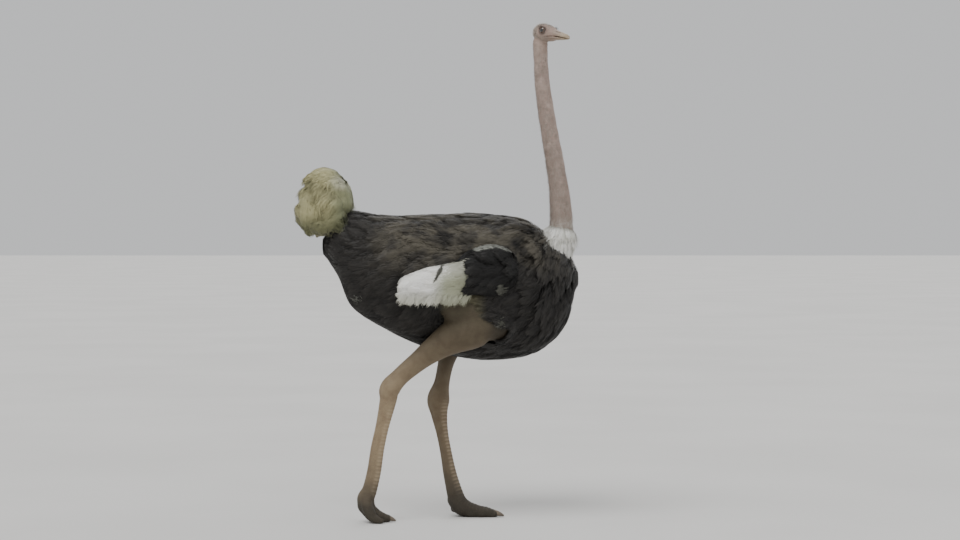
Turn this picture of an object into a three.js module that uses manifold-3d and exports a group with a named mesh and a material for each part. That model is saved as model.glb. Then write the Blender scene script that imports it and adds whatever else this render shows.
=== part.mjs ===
// A life-size male ostrich, caught in mid-stride and looking a little to its right.
// Millimetres. +X is the way it walks, +Y its left side, +Z up; the soles rest on Z = 0.
// Each sub-part is a closed loft through a few named stations. A neighbour, grown by the
// seam's width, is cut away from it, so that the pieces meet face to face without touching.
import * as THREE from "three";
import { LoftGeometry } from "three/addons/geometries/LoftGeometry.js";
import { mergeVertices } from "three/addons/utils/BufferGeometryUtils.js";
import Module from "manifold-3d";

const wasm = await Module();
wasm.setup();

// ---- Driving dimensions ----------------------------------------------------------------

const SEAM = 0.35; // gap between neighbouring pieces
const FLOOR = { width: 3000, depth: 200 }; // the block that trims the soles flat
const WELD = 1e-3; // points closer than this are one

const HEAD_CENTRE = [388, -4, 2172]; // midway between the eyes
const HEAD_YAW = -40; // degrees; the head turns to the bird's right
const HEAD_PITCH = -8; // degrees; the bill dips
const EYE = { along: 3, aside: 28, up: 9, radius: 20.5, sides: 14 };

// Stations of a hull that runs along X: [x, top, bottom, half width, height of the widest line].
const TRUNK = [
  [-606, 1250, 1184, 16, 1217],
  [-545, 1345, 1092, 96, 1213],
  [-478, 1370, 950, 148, 1180],
  [-300, 1350, 838, 208, 1130],
  [-100, 1358, 752, 234, 1092],
  [100, 1359, 716, 236, 1078],
  [280, 1336, 730, 206, 1068],
  [400, 1280, 785, 156, 1062],
  [480, 1212, 885, 94, 1070],
  [523, 1108, 1044, 16, 1078],
];
const SKULL = [
  [-66, 10, -14, 10, -3],
  [-54, 24, -30, 27, -1],
  [-30, 34, -38, 38, 1],
  [0, 37, -40, 42, 5],
  [24, 31, -37, 37, 3],
  [44, 21, -33, 31, -3],
];
const BILL_UPPER = [
  [43, 20, -12, 29, -6],
  [68, 12, -12.5, 26.5, -8],
  [94, 6, -13.5, 24, -10],
  [116, -1, -15, 18, -12],
  [127, -8, -16, 8, -13],
];
const BILL_LOWER = [
  [43, -12.5, -32, 28, -16],
  [68, -13, -28, 25, -17],
  [94, -14, -25, 22, -18],
  [113, -15.5, -22, 15, -18.5],
  [121, -16.5, -19.5, 6, -18],
];

// Stations of a limb: [x, y, z, half breadth sideways, half depth]. The limb follows them.
const TAIL = [
  [-640, 0, 1262, 56, 50],
  [-628, 0, 1300, 112, 100],
  [-616, 0, 1375, 150, 131],
  [-608, 0, 1465, 138, 117],
  [-605, 0, 1520, 104, 86],
  [-604, 0, 1548, 64, 50],
];
const COLLAR = [
  [392, 0, 1160, 92, 88],
  [428, 0, 1222, 84, 78],
  [447, 0, 1275, 68, 64],
  [452, 0, 1306, 58, 56],
];
const NECK_LOWER = [
  [451, 0, 1300, 55, 54],
  [452, 0, 1370, 48, 49],
  [441, 0, 1475, 42, 44],
  [424, 0, 1585, 39, 41],
];
const NECK_MIDDLE = [
  [424, 0, 1585, 39, 41],
  [404, 0, 1700, 37, 39],
  [385, 0, 1810, 35, 37],
  [371, 0, 1910, 33, 35],
];
const NECK_UPPER = [
  [371, 0, 1910, 33, 35],
  [362, 2, 2000, 31, 33],
  [359, 9, 2080, 29, 31],
  [358, 18, 2135, 30, 33],
  [364, 16, 2166, 26, 28],
];

// The wing is given for the right side and mirrored for the left.
const WING = [
  [252, -176, 1128, 26, 44],
  [216, -214, 1122, 42, 86],
  [150, -238, 1116, 52, 110],
  [84, -250, 1108, 50, 102],
  [30, -254, 1094, 45, 84],
];
const WING_PLUMES = [
  [32, -254, 1088, 43, 76],
  [-45, -258, 1060, 44, 80],
  [-130, -258, 1050, 42, 72],
  [-215, -252, 1038, 36, 56],
  [-264, -246, 1022, 20, 32],
];

// Each leg from the hip down. The right one trails and pushes off, the left one bears the weight.
const LEGS = {
  right: {
    thigh: [
      [-95, -112, 1060, 96, 112],
      [20, -140, 985, 100, 118],
      [118, -158, 908, 92, 104],
      [182, -164, 858, 66, 72],
    ],
    drumstick: [
      [140, -166, 896, 82, 88],
      [42, -166, 858, 80, 90],
      [-50, -160, 808, 64, 70],
      [-120, -154, 760, 50, 53],
      [-190, -148, 706, 41, 44],
      [-262, -143, 644, 36, 40],
      [-309, -140, 592, 38, 46],
    ],
    shank: [
      [-309, -140, 592, 38, 46],
      [-318, -140, 520, 29, 34],
      [-341, -140, 430, 25, 29],
      [-363, -140, 330, 24, 29],
      [-379, -140, 225, 26, 30],
      [-398, -140, 134, 32, 34],
    ],
    toe_big: [
      [-418, -138, 118, 34, 40],
      [-412, -137, 72, 33, 37],
      [-378, -136, 30, 31, 32],
      [-330, -134, 16, 24, 20],
    ],
    claw: [
      [-336, -134, 20, 15, 15],
      [-312, -133, 15, 12, 12],
      [-288, -132, 6, 5, 5],
    ],
    toe_small: [
      [-416, -162, 108, 22, 26],
      [-406, -176, 62, 20, 23],
      [-376, -186, 19, 17, 21],
      [-344, -191, 10, 12, 14],
    ],
  },
  left: {
    thigh: [
      [-110, 118, 1062, 94, 110],
      [-40, 146, 1046, 98, 114],
      [14, 166, 1012, 92, 102],
      [40, 170, 985, 66, 72],
    ],
    drumstick: [
      [32, 170, 985, 80, 88],
      [4, 163, 912, 80, 90],
      [-22, 150, 830, 64, 70],
      [-45, 137, 755, 47, 48],
      [-66, 122, 682, 37, 36],
      [-83, 106, 600, 33, 35],
      [-99, 93, 524, 39, 52],
    ],
    shank: [
      [-99, 93, 524, 39, 52],
      [-95, 84, 456, 30, 37],
      [-81, 71, 374, 23, 26],
      [-64, 60, 285, 23, 25],
      [-46, 51, 185, 26, 30],
      [-20, 42, 90, 34, 38],
    ],
    toe_big: [
      [-20, 41, 52, 35, 46],
      [30, 38, 32, 33, 36],
      [90, 35, 22, 30, 26],
      [148, 32, 15, 24, 19],
    ],
    claw: [
      [140, 32, 20, 15, 15],
      [168, 30, 15, 12, 12],
      [192, 29, 6, 5, 5],
    ],
    toe_small: [
      [-22, 66, 42, 24, 30],
      [18, 85, 24, 22, 28],
      [58, 101, 15, 19, 19],
      [92, 113, 10, 13, 14],
    ],
  },
};

// ---- Finishes ----------------------------------------------------------------------------

const finish = (color, roughness, metalness = 0) =>
  new THREE.MeshStandardMaterial({ color, roughness, metalness });
const FINISH = {
  black_plumage: finish(0x1d1a18, 0.85),
  white_plumage: finish(0xe4e0d6, 0.9),
  tail_plumage: finish(0xb9ad86, 0.9),
  pink_skin: finish(0xa8806a, 0.65),
  leg_skin: finish(0x9c8068, 0.6),
  bill_horn: finish(0xa78467, 0.4),
  claw_horn: finish(0x3a3029, 0.45),
  eye: finish(0x24150d, 0.05),
};

// ---- Lofts -------------------------------------------------------------------------------

// Two smooth curves through the stations, three numbers on each, read together at one t.
function stationCurve(stations) {
  const first = stations.map((s) => new THREE.Vector3(s[0], s[1], s[2]));
  const second = stations.map((s) => new THREE.Vector3(s[3], s[4], 0));
  return [first, second].map(
    (points) => new THREE.CatmullRomCurve3(points, false, "catmullrom", 0.5),
  );
}

// One closed ring of `sides` points, from a function of the cosine and sine of the angle.
function ring(sides, point) {
  return Array.from({ length: sides }, (_, j) => {
    const angle = (j / sides) * 2 * Math.PI;
    return point(Math.cos(angle), Math.sin(angle));
  });
}

// A hull along X: each section is an egg between its top, its bottom and its widest line.
function hull(stations, { sides = 18, perSpan = 2, grow = 0 } = {}) {
  const [outline, girth] = stationCurve(stations);
  const steps = perSpan * (stations.length - 1);
  const sections = [];
  for (let i = 0; i <= steps; i++) {
    const { x, y: top, z: bottom } = outline.getPoint(i / steps);
    const { x: halfWidth, y: wide } = girth.getPoint(i / steps);
    const along = x + (i === 0 ? -grow : i === steps ? grow : 0);
    sections.push(
      ring(sides, (c, s) => {
        const reach = s > 0 ? top - wide : wide - bottom;
        return new THREE.Vector3(
          along,
          (halfWidth + grow) * c,
          wide + (reach + grow) * s,
        );
      }),
    );
  }
  return sections;
}

// A limb along its stations: elliptical sections square to the path, ended by low domes.
function limb(stations, { sides = 14, perSpan = 2, grow = 0, domes = [0.5, 0.5] } = {}) {
  const [path, girth] = stationCurve(stations);
  const steps = perSpan * (stations.length - 1);
  const section = (t, shift, scale) => {
    const tangent = path.getTangent(t);
    const aside = new THREE.Vector3(0, 1, 0).addScaledVector(tangent, -tangent.y).normalize();
    const across = new THREE.Vector3().crossVectors(tangent, aside);
    const centre = path.getPoint(t).addScaledVector(tangent, shift);
    const size = girth.getPoint(t);
    return ring(sides, (c, s) =>
      centre
        .clone()
        .addScaledVector(aside, (size.x + grow) * scale * c)
        .addScaledVector(across, (size.y + grow) * scale * s),
    );
  };
  const dome = (t, outwards, share) => {
    const reach = share * girth.getPoint(t).x + grow;
    return [0.42, 0.8].map((part) => {
      const angle = (part * Math.PI) / 2;
      return section(t, outwards * reach * Math.sin(angle), Math.cos(angle));
    });
  };
  const sections = dome(0, -1, domes[0]).reverse();
  for (let i = 0; i <= steps; i++) sections.push(section(i / steps, 0, 1));
  return sections.concat(dome(1, 1, domes[1]));
}

const mirrored = (stations) =>
  stations.map(([x, y, z, ...size]) => [x, -y, z, ...size]);

// ---- Solids ------------------------------------------------------------------------------

function solid(geometry) {
  const bare = new THREE.BufferGeometry().copy(geometry);
  bare.deleteAttribute("normal");
  bare.deleteAttribute("uv");
  const merged = mergeVertices(bare, WELD);
  return new wasm.Manifold(
    new wasm.Mesh({
      numProp: 3,
      vertProperties: merged.attributes.position.array,
      triVerts: new Uint32Array(merged.index.array),
    }),
  );
}

const loft = (sections) => new LoftGeometry(sections, { capStart: true, capEnd: true });

// A piece knows its own solid and the slightly larger one that is cut from its neighbours.
function piece(make, place = new THREE.Matrix4()) {
  const [body, cutter] = [0, SEAM].map((grow) => solid(make(grow).applyMatrix4(place)));
  return { body, cutter };
}
const hullPiece = (stations, options = {}, place = undefined) =>
  piece((grow) => loft(hull(stations, { ...options, grow })), place);
const limbPiece = (stations, options = {}) =>
  piece((grow) => loft(limb(stations, { ...options, grow })));

// The piece without what its neighbours fill; the largest body is kept, crumbs are dropped.
function without(own, ...neighbours) {
  const cut = neighbours.reduce((left, other) => left.subtract(other.cutter), own.body);
  return cut.decompose().sort((a, b) => b.volume() - a.volume())[0];
}

const parts = new THREE.Group();

function add(name, shape, material) {
  const { numProp, vertProperties, triVerts, numVert } = shape.getMesh();
  const positions = new Float32Array(numVert * 3);
  for (let i = 0; i < numVert; i++)
    positions.set(vertProperties.subarray(i * numProp, i * numProp + 3), i * 3);
  const geometry = new THREE.BufferGeometry()
    .setAttribute("position", new THREE.BufferAttribute(positions, 3))
    .setIndex(new THREE.BufferAttribute(triVerts, 1));
  const mesh = new THREE.Mesh(geometry, material);
  mesh.name = name;
  parts.add(mesh);
  return mesh;
}

// ---- Trunk, tail and wings ---------------------------------------------------------------

const trunk = hullPiece(TRUNK, { sides: 24 });
add("trunk", trunk.body, FINISH.black_plumage);

const tail = limbPiece(TAIL, { sides: 14, domes: [0.25, 0.25] });
add("tail", without(tail, trunk), FINISH.tail_plumage);

const wings = { right: WING, left: mirrored(WING) };
const plumes = { right: WING_PLUMES, left: mirrored(WING_PLUMES) };
const wingPieces = {};
for (const side of ["right", "left"]) {
  const wing = limbPiece(wings[side], { domes: [0.8, 0.2] });
  const plume = limbPiece(plumes[side], { sides: 12, domes: [0.1, 0.8] });
  wingPieces[side] = [wing, plume];
  add(`wing_${side}`, without(wing, trunk), FINISH.black_plumage);
  add(`wing_plumes_${side}`, without(plume, trunk, wing), FINISH.white_plumage);
}

// ---- Neck and head -----------------------------------------------------------------------

const collar = limbPiece(COLLAR, { domes: [0.2, 0.1] });
const neckLower = limbPiece(NECK_LOWER, { perSpan: 1, domes: [0.1, 0.1] });
const neckMiddle = limbPiece(NECK_MIDDLE, { perSpan: 1, domes: [0.1, 0.1] });
const neckUpper = limbPiece(NECK_UPPER, { domes: [0.1, 0.3] });
add("collar", without(collar, trunk), FINISH.white_plumage);
add("neck_lower", without(neckLower, trunk, collar), FINISH.pink_skin);
add("neck_middle", without(neckMiddle, neckLower), FINISH.pink_skin);
add("neck_upper", without(neckUpper, neckMiddle), FINISH.pink_skin);

// The head is built level about the point between the eyes, then turned and lifted as one.
const headPlace = new THREE.Matrix4().compose(
  new THREE.Vector3(...HEAD_CENTRE),
  new THREE.Quaternion().setFromEuler(
    new THREE.Euler(
      0,
      THREE.MathUtils.degToRad(-HEAD_PITCH),
      THREE.MathUtils.degToRad(HEAD_YAW),
      "ZYX",
    ),
  ),
  new THREE.Vector3(1, 1, 1),
);
function eyeball(outward) {
  const ball = (grow) =>
    new THREE.SphereGeometry(EYE.radius + grow, EYE.sides, EYE.sides / 2)
      .translate(EYE.along, outward * EYE.aside, EYE.up);
  return piece(ball, headPlace);
}
const skull = hullPiece(SKULL, {}, headPlace);
const billUpper = hullPiece(BILL_UPPER, { sides: 14 }, headPlace);
const billLower = hullPiece(BILL_LOWER, { sides: 14, perSpan: 1 }, headPlace);
const eyes = { right: eyeball(-1), left: eyeball(1) };
add("head", without(skull, neckUpper, eyes.right, eyes.left), FINISH.pink_skin);
add("bill_upper", without(billUpper, skull), FINISH.bill_horn);
add("bill_lower", without(billLower, skull, billUpper), FINISH.bill_horn);
for (const side of ["right", "left"]) add(`eye_${side}`, eyes[side].body, FINISH.eye);

// ---- Legs and feet -----------------------------------------------------------------------

const floor = solid(
  new THREE.BoxGeometry(FLOOR.width, FLOOR.width, FLOOR.depth).translate(0, 0, -FLOOR.depth / 2),
);
const onFloor = (own) => ({ ...own, body: own.body.subtract(floor) });

for (const [side, leg] of Object.entries(LEGS)) {
  const [wing, plume] = wingPieces[side];
  const thigh = limbPiece(leg.thigh, { domes: [0.6, 0.6] });
  const drumstick = limbPiece(leg.drumstick, { perSpan: 1, domes: [0.6, 0.5] });
  const shank = limbPiece(leg.shank, { sides: 12, perSpan: 1, domes: [0.3, 0.5] });
  const toeBig = onFloor(limbPiece(leg.toe_big, { sides: 12, domes: [0.6, 0.6] }));
  const toeSmall = onFloor(limbPiece(leg.toe_small, { sides: 10, domes: [0.6, 0.8] }));
  const claw = onFloor(limbPiece(leg.claw, { sides: 10, perSpan: 1, domes: [0.2, 0.8] }));
  add(`thigh_${side}`, without(thigh, trunk, wing, plume), FINISH.pink_skin);
  add(`drumstick_${side}`, without(drumstick, thigh, trunk, wing, plume), FINISH.pink_skin);
  add(`shank_${side}`, without(shank, drumstick), FINISH.leg_skin);
  add(`toe_big_${side}`, without(toeBig, shank), FINISH.leg_skin);
  add(`toe_small_${side}`, without(toeSmall, shank, toeBig), FINISH.leg_skin);
  add(`claw_${side}`, without(claw, toeBig), FINISH.claw_horn);
}

// ---- Place: the origin is under the middle of the whole bird, on the floor -----------------

const middle = new THREE.Box3().setFromObject(parts).getCenter(new THREE.Vector3());
parts.position.set(-middle.x, -middle.y, 0);

export default parts;
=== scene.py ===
"""A life-size male ostrich in mid-stride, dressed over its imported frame.

Every form is given by stations in millimetres, in the bird's own axes: +X is the way it walks,
+Y its left side, +Z up. Meshes are made in metres and moved once into the frame's axes.
One skin stands for all the flesh; plumes, down, bill, eyes, lids, lashes and claws lie over it.
"""

from __future__ import annotations

import logging
import math
from dataclasses import dataclass, field
from enum import Enum
from typing import Callable, ClassVar, Sequence

import bpy
import numpy as np
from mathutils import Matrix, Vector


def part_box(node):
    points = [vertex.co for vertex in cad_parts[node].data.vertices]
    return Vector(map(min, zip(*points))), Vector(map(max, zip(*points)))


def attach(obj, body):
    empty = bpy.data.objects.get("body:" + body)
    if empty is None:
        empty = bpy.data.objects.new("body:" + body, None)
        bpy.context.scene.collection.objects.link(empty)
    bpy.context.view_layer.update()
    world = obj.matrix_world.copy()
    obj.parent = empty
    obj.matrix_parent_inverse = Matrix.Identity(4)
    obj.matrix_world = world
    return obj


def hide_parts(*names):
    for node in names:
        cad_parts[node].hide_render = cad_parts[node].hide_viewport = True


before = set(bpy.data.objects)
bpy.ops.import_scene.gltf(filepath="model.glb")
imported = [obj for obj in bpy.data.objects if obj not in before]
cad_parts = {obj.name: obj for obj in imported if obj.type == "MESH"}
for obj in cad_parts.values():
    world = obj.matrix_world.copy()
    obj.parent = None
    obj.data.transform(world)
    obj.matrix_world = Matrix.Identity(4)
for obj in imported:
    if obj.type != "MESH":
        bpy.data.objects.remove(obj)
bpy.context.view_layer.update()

LOG = logging.getLogger("ostrich")
Array = np.ndarray
Stations = tuple[tuple[float, ...], ...]
MM = 0.001
FULL_TURN = 2.0 * math.pi


class Side(Enum):
    """The bird's two sides, with the sign of Y on each."""

    RIGHT = -1
    LEFT = 1

    @property
    def label(self) -> str:
        """The side's name in lower case, as the nodes have it."""
        return self.name.lower()


class Slot(Enum):
    """The record's material slots, one handed with each piece; nothing reads them."""

    BLACK = "black_plumage"
    WHITE = "white_plumage"
    TAIL = "tail_plumage"
    PINK = "pink_skin"
    BILL = "bill_horn"
    CLAW = "claw_horn"
    EYE = "eye"


# ---- The body's stations ----

# Along X: (x, top, bottom, half width, height of the widest line).
TRUNK: Stations = (
    (-606, 1250, 1184, 16, 1217), (-545, 1345, 1092, 96, 1213), (-478, 1370, 950, 148, 1180),
    (-300, 1350, 838, 208, 1130), (-100, 1358, 752, 234, 1092), (100, 1359, 716, 236, 1078),
    (280, 1336, 730, 206, 1068), (400, 1280, 785, 156, 1062), (480, 1212, 885, 94, 1070),
    (523, 1108, 1044, 16, 1078),
)
SKULL: Stations = (
    (-66, 10, -14, 10, -3), (-54, 24, -30, 27, -1), (-30, 34, -38, 38, 1), (0, 37, -40, 42, 5),
    (24, 31, -37, 37, 3), (44, 21, -33, 31, -3), (56, 14, -29, 27, -6),
)
BILL_UPPER: Stations = (
    (40, 20, -12, 29, -6), (54, 16.5, -12, 28.5, -7), (68, 12, -12.5, 27, -8),
    (94, 6, -13.5, 24.5, -10), (110, 1.5, -14.5, 20.5, -11.5), (120, -3.5, -16.5, 15, -13),
    (127, -10, -18.5, 7, -15),
)
BILL_LOWER: Stations = (
    (40, -12.2, -32, 28, -16), (68, -13, -28, 26, -17), (94, -14, -25, 23, -18),
    (110, -15.2, -22.5, 18, -18.5), (121, -17.5, -20.5, 8, -19),
)

# Along a path: (x, y, z, half breadth sideways, half depth).
TAIL: Stations = (
    (-640, 0, 1262, 56, 50), (-628, 0, 1300, 112, 100), (-616, 0, 1375, 150, 131),
    (-608, 0, 1465, 138, 117), (-605, 0, 1520, 104, 86), (-604, 0, 1548, 64, 50),
)
NECK: Stations = (
    (372, 0, 1120, 84, 80), (420, 0, 1208, 72, 68), (447, 0, 1272, 58, 56), (452, 0, 1320, 50, 50),
    (450, 0, 1380, 46, 47), (441, 0, 1475, 40, 42), (424, 0, 1585, 37, 39), (404, 0, 1700, 35, 37),
    (385, 0, 1810, 33, 35), (371, 0, 1910, 31, 33), (362, 2, 2000, 29, 31), (359, 9, 2080, 27, 30),
    (359, 18, 2132, 27, 31), (368, 13, 2168, 20, 22),
)
WING: Stations = (
    (252, -176, 1128, 26, 44), (216, -214, 1122, 42, 86), (150, -238, 1116, 52, 110),
    (84, -250, 1108, 50, 102), (30, -254, 1094, 45, 84),
)
WING_PLUMES: Stations = (
    (32, -254, 1088, 43, 76), (-45, -258, 1060, 44, 80), (-130, -258, 1050, 42, 72),
    (-215, -252, 1038, 36, 56), (-264, -246, 1022, 20, 32),
)
THIGH: dict[Side, Stations] = {
    Side.RIGHT: ((-95, -112, 1060, 96, 112), (20, -140, 985, 100, 118), (118, -158, 908, 92, 104),
                 (182, -164, 858, 66, 72)),
    Side.LEFT: ((-110, 118, 1062, 94, 110), (-40, 146, 1046, 98, 114), (14, 166, 1012, 92, 102),
                (40, 170, 985, 66, 72)),
}
# The leg below the knee in one run: drumstick, hock, shank, and on into the big toe.
LEG: dict[Side, Stations] = {
    Side.RIGHT: ((140, -166, 896, 82, 88), (42, -166, 858, 80, 90), (-50, -160, 808, 64, 70),
                 (-120, -154, 760, 50, 53), (-190, -148, 706, 41, 44), (-262, -143, 644, 35, 39),
                 (-308, -140, 590, 38, 45), (-317, -140, 536, 31, 37), (-341, -140, 430, 25, 29),
                 (-363, -140, 330, 24, 29), (-379, -140, 225, 26, 30), (-398, -140, 146, 31, 32),
                 (-416, -139, 100, 34, 38), (-404, -137, 56, 32, 34), (-374, -136, 30, 30, 29),
                 (-338, -135, 18, 26, 22), (-316, -134, 14, 20, 16)),
    Side.LEFT: ((32, 170, 985, 80, 88), (4, 163, 912, 80, 90), (-22, 150, 830, 64, 70),
                (-45, 137, 755, 47, 48), (-66, 122, 682, 37, 36), (-83, 106, 600, 33, 35),
                (-99, 93, 524, 38, 50), (-95, 84, 456, 30, 36), (-81, 71, 374, 23, 26),
                (-64, 60, 285, 23, 25), (-47, 51, 195, 26, 29), (-26, 44, 112, 32, 35),
                (-8, 41, 62, 35, 40), (28, 39, 36, 34, 36), (72, 36, 25, 31, 29),
                (120, 33, 19, 27, 23), (158, 32, 14, 20, 16)),
}
SMALL_TOE: dict[Side, Stations] = {
    Side.RIGHT: ((-414, -152, 112, 22, 26), (-408, -170, 70, 20, 24), (-384, -182, 28, 18, 22),
                 (-358, -189, 14, 14, 15), (-340, -192, 11, 8, 9)),
    Side.LEFT: ((-22, 60, 46, 24, 30), (18, 84, 26, 22, 25), (58, 101, 18, 19, 20),
                (84, 110, 13, 15, 15), (101, 116, 10, 8, 9)),
}
CLAW: dict[Side, Stations] = {
    Side.RIGHT: ((-336, -134, 21, 14, 13), (-318, -133.5, 18, 14, 12), (-300, -133, 12, 10, 9),
                 (-286, -132, 6, 4, 4)),
    Side.LEFT: ((138, 32, 21, 14, 13), (158, 31, 18, 14, 12), (178, 30, 12, 10, 9),
                (194, 29, 6, 4, 4)),
}

HEAD_CENTRE = np.array((388, -4, 2172)) * MM  # midway between the eyes
HEAD_YAW = math.radians(-40)
HEAD_PITCH = math.radians(8)

# The bird's own axes to the frame's: the trunk's rear end is where the frame has it.
FRAME_SHIFT = np.array((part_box("trunk")[0][0] - TRUNK[0][0] * MM, 0.0, 0.0))


# ---- Arithmetic on arrays ----

def spline(points: Array, t: Array) -> Array:
    """A smooth curve through rows of numbers: Catmull-Rom, the end slopes mirrored.

    Args:
        points: the rows that it passes through, evenly spaced in t.
        t: places along it, 0 at the first row and 1 at the last.

    Returns:
        One row for each place.
    """
    spans = len(points) - 1
    rows = np.vstack((2 * points[0] - points[1], points, 2 * points[-1] - points[-2]))
    place = np.clip(t, 0, 1) * spans
    i = np.minimum(place.astype(int), spans - 1)
    f = (place - i)[..., None]
    a, b, c, d = (rows[i + k] for k in range(4))
    return b + 0.5 * f * ((c - a) + f * ((2 * a - 5 * b + 4 * c - d) + f * (3 * (b - c) + d - a)))


def unit(v: Array) -> Array:
    """The vectors of v, each made one long."""
    return v / np.maximum(np.linalg.norm(v, axis=-1, keepdims=True), 1e-12)


def ramp(x: Array, low: float, high: float) -> Array:
    """A smooth step from 0 at low to 1 at high."""
    t = np.clip((x - low) / (high - low), 0, 1)
    return t * t * (3 - 2 * t)


def hump(x: Array, centre: float, width: float) -> Array:
    """A bell curve, 1 at its centre."""
    return np.exp(-(((x - centre) / width) ** 2))


def drift(p: Array, size: float, seed: int) -> Array:
    """Smooth noise of about -1 to 1: seven plane waves in seeded directions, added up.

    Args:
        p: points, in rows.
        size: about the breadth of one swell, in metres.
        seed: names the waves.

    Returns:
        One value for each point.
    """
    rng = np.random.default_rng(seed)
    waves = unit(rng.normal(size=(7, 3))) * rng.uniform(0.6, 1.5, (7, 1)) * math.pi / size
    return np.sin(p @ waves.T + rng.uniform(0, FULL_TURN, 7)).sum(-1) / 3.2


def scatter(count: int, seed: int) -> Array:
    """Even but unaligned places in the unit square: multiples of two irrational steps."""
    steps = np.array((0.7548776662466927, 0.5698402909980532))
    return (seed * 0.137 + np.arange(1, count + 1)[:, None] * steps) % 1.0


# ---- Meshes ----

@dataclass
class Surface:
    """Points and the four- and three-cornered faces between them."""

    points: Array
    quads: Array
    tris: Array = field(default_factory=lambda: np.zeros((0, 3), int))

    @staticmethod
    def joined(parts: Sequence[Surface]) -> Surface:
        """All the parts as one surface, with nothing welded.

        Args:
            parts: the surfaces.

        Returns:
            The joined surface.
        """
        starts = np.cumsum([0] + [len(s.points) for s in parts])
        return Surface(
            np.vstack([s.points for s in parts]),
            np.vstack([s.quads + k for s, k in zip(parts, starts)]),
            np.vstack([s.tris + k for s, k in zip(parts, starts)]),
        )

    @staticmethod
    def tube(rings: Array, start: Array, end: Array) -> Surface:
        """A closed surface over rings of points, brought together at a point at each end.

        Args:
            rings: (rows, sides, 3), each turning left about the way from start to end.
            start: the point before the first ring.
            end: the point after the last ring.

        Returns:
            The closed surface.
        """
        rows, sides = rings.shape[:2]
        a = np.arange(rows - 1)[:, None] * sides + np.arange(sides)
        b = np.arange(rows - 1)[:, None] * sides + (np.arange(sides) + 1) % sides
        quads = np.stack((a, b, b + sides, a + sides), -1).reshape(-1, 4)
        first, last = np.arange(sides), np.arange(sides) + (rows - 1) * sides
        poles = rows * sides, rows * sides + 1
        near = np.stack((np.roll(first, -1), first, np.full(sides, poles[0])), -1)
        far = np.stack((last, np.roll(last, -1), np.full(sides, poles[1])), -1)
        points = np.vstack((rings.reshape(-1, 3), start, end))
        return Surface(points, quads, np.vstack((near, far)))

    def mesh(self, name: str, smooth: bool = True) -> bpy.types.Object:
        """A linked object whose mesh lies in the frame's axes.

        Args:
            name: the object's name.
            smooth: whether its faces are shaded smooth.

        Returns:
            The object.
        """
        me = bpy.data.meshes.new(name)
        corners = np.concatenate((self.quads.ravel(), self.tris.ravel())).astype(np.int32)
        sizes = np.concatenate((np.full(len(self.quads), 4), np.full(len(self.tris), 3)))
        me.vertices.add(len(self.points))
        me.vertices.foreach_set("co", (self.points + FRAME_SHIFT).astype(np.float32).ravel())
        me.loops.add(len(corners))
        me.loops.foreach_set("vertex_index", corners)
        me.polygons.add(len(sizes))
        me.polygons.foreach_set("loop_start", (np.cumsum(sizes) - sizes).astype(np.int32))
        me.polygons.foreach_set("use_smooth", np.full(len(sizes), smooth))
        me.update(calc_edges=True)
        me.validate()
        ob = bpy.data.objects.new(name, me)
        bpy.context.scene.collection.objects.link(ob)
        return ob


def paint(ob: bpy.types.Object, name: str, values: Array) -> None:
    """Puts one number, or one colour, on each vertex, for the finish to read by name.

    Args:
        ob: the piece.
        name: the attribute's name.
        values: one number or one row of four for each vertex.
    """
    kind, key = ("FLOAT", "value") if values.ndim == 1 else ("FLOAT_COLOR", "color")
    layer = ob.data.attributes.new(name, kind, "POINT")
    layer.data.foreach_set(key, values.astype(np.float32).ravel())


def numbers(first: Array, second: Array | float = 0.0) -> Array:
    """Colour rows that carry two numbers for each point: (first, second, 0, 1)."""
    return np.stack((first, second + 0 * first, 0 * first, 0 * first + 1), -1)


def vertices(ob: bpy.types.Object) -> Array:
    """An object's vertices in the bird's own axes.

    Args:
        ob: the piece.

    Returns:
        The points, in rows.
    """
    flat = np.zeros(len(ob.data.vertices) * 3, np.float32)
    ob.data.vertices.foreach_get("co", flat)
    return flat.reshape(-1, 3).astype(float) - FRAME_SHIFT


# ---- Forms ----

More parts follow.
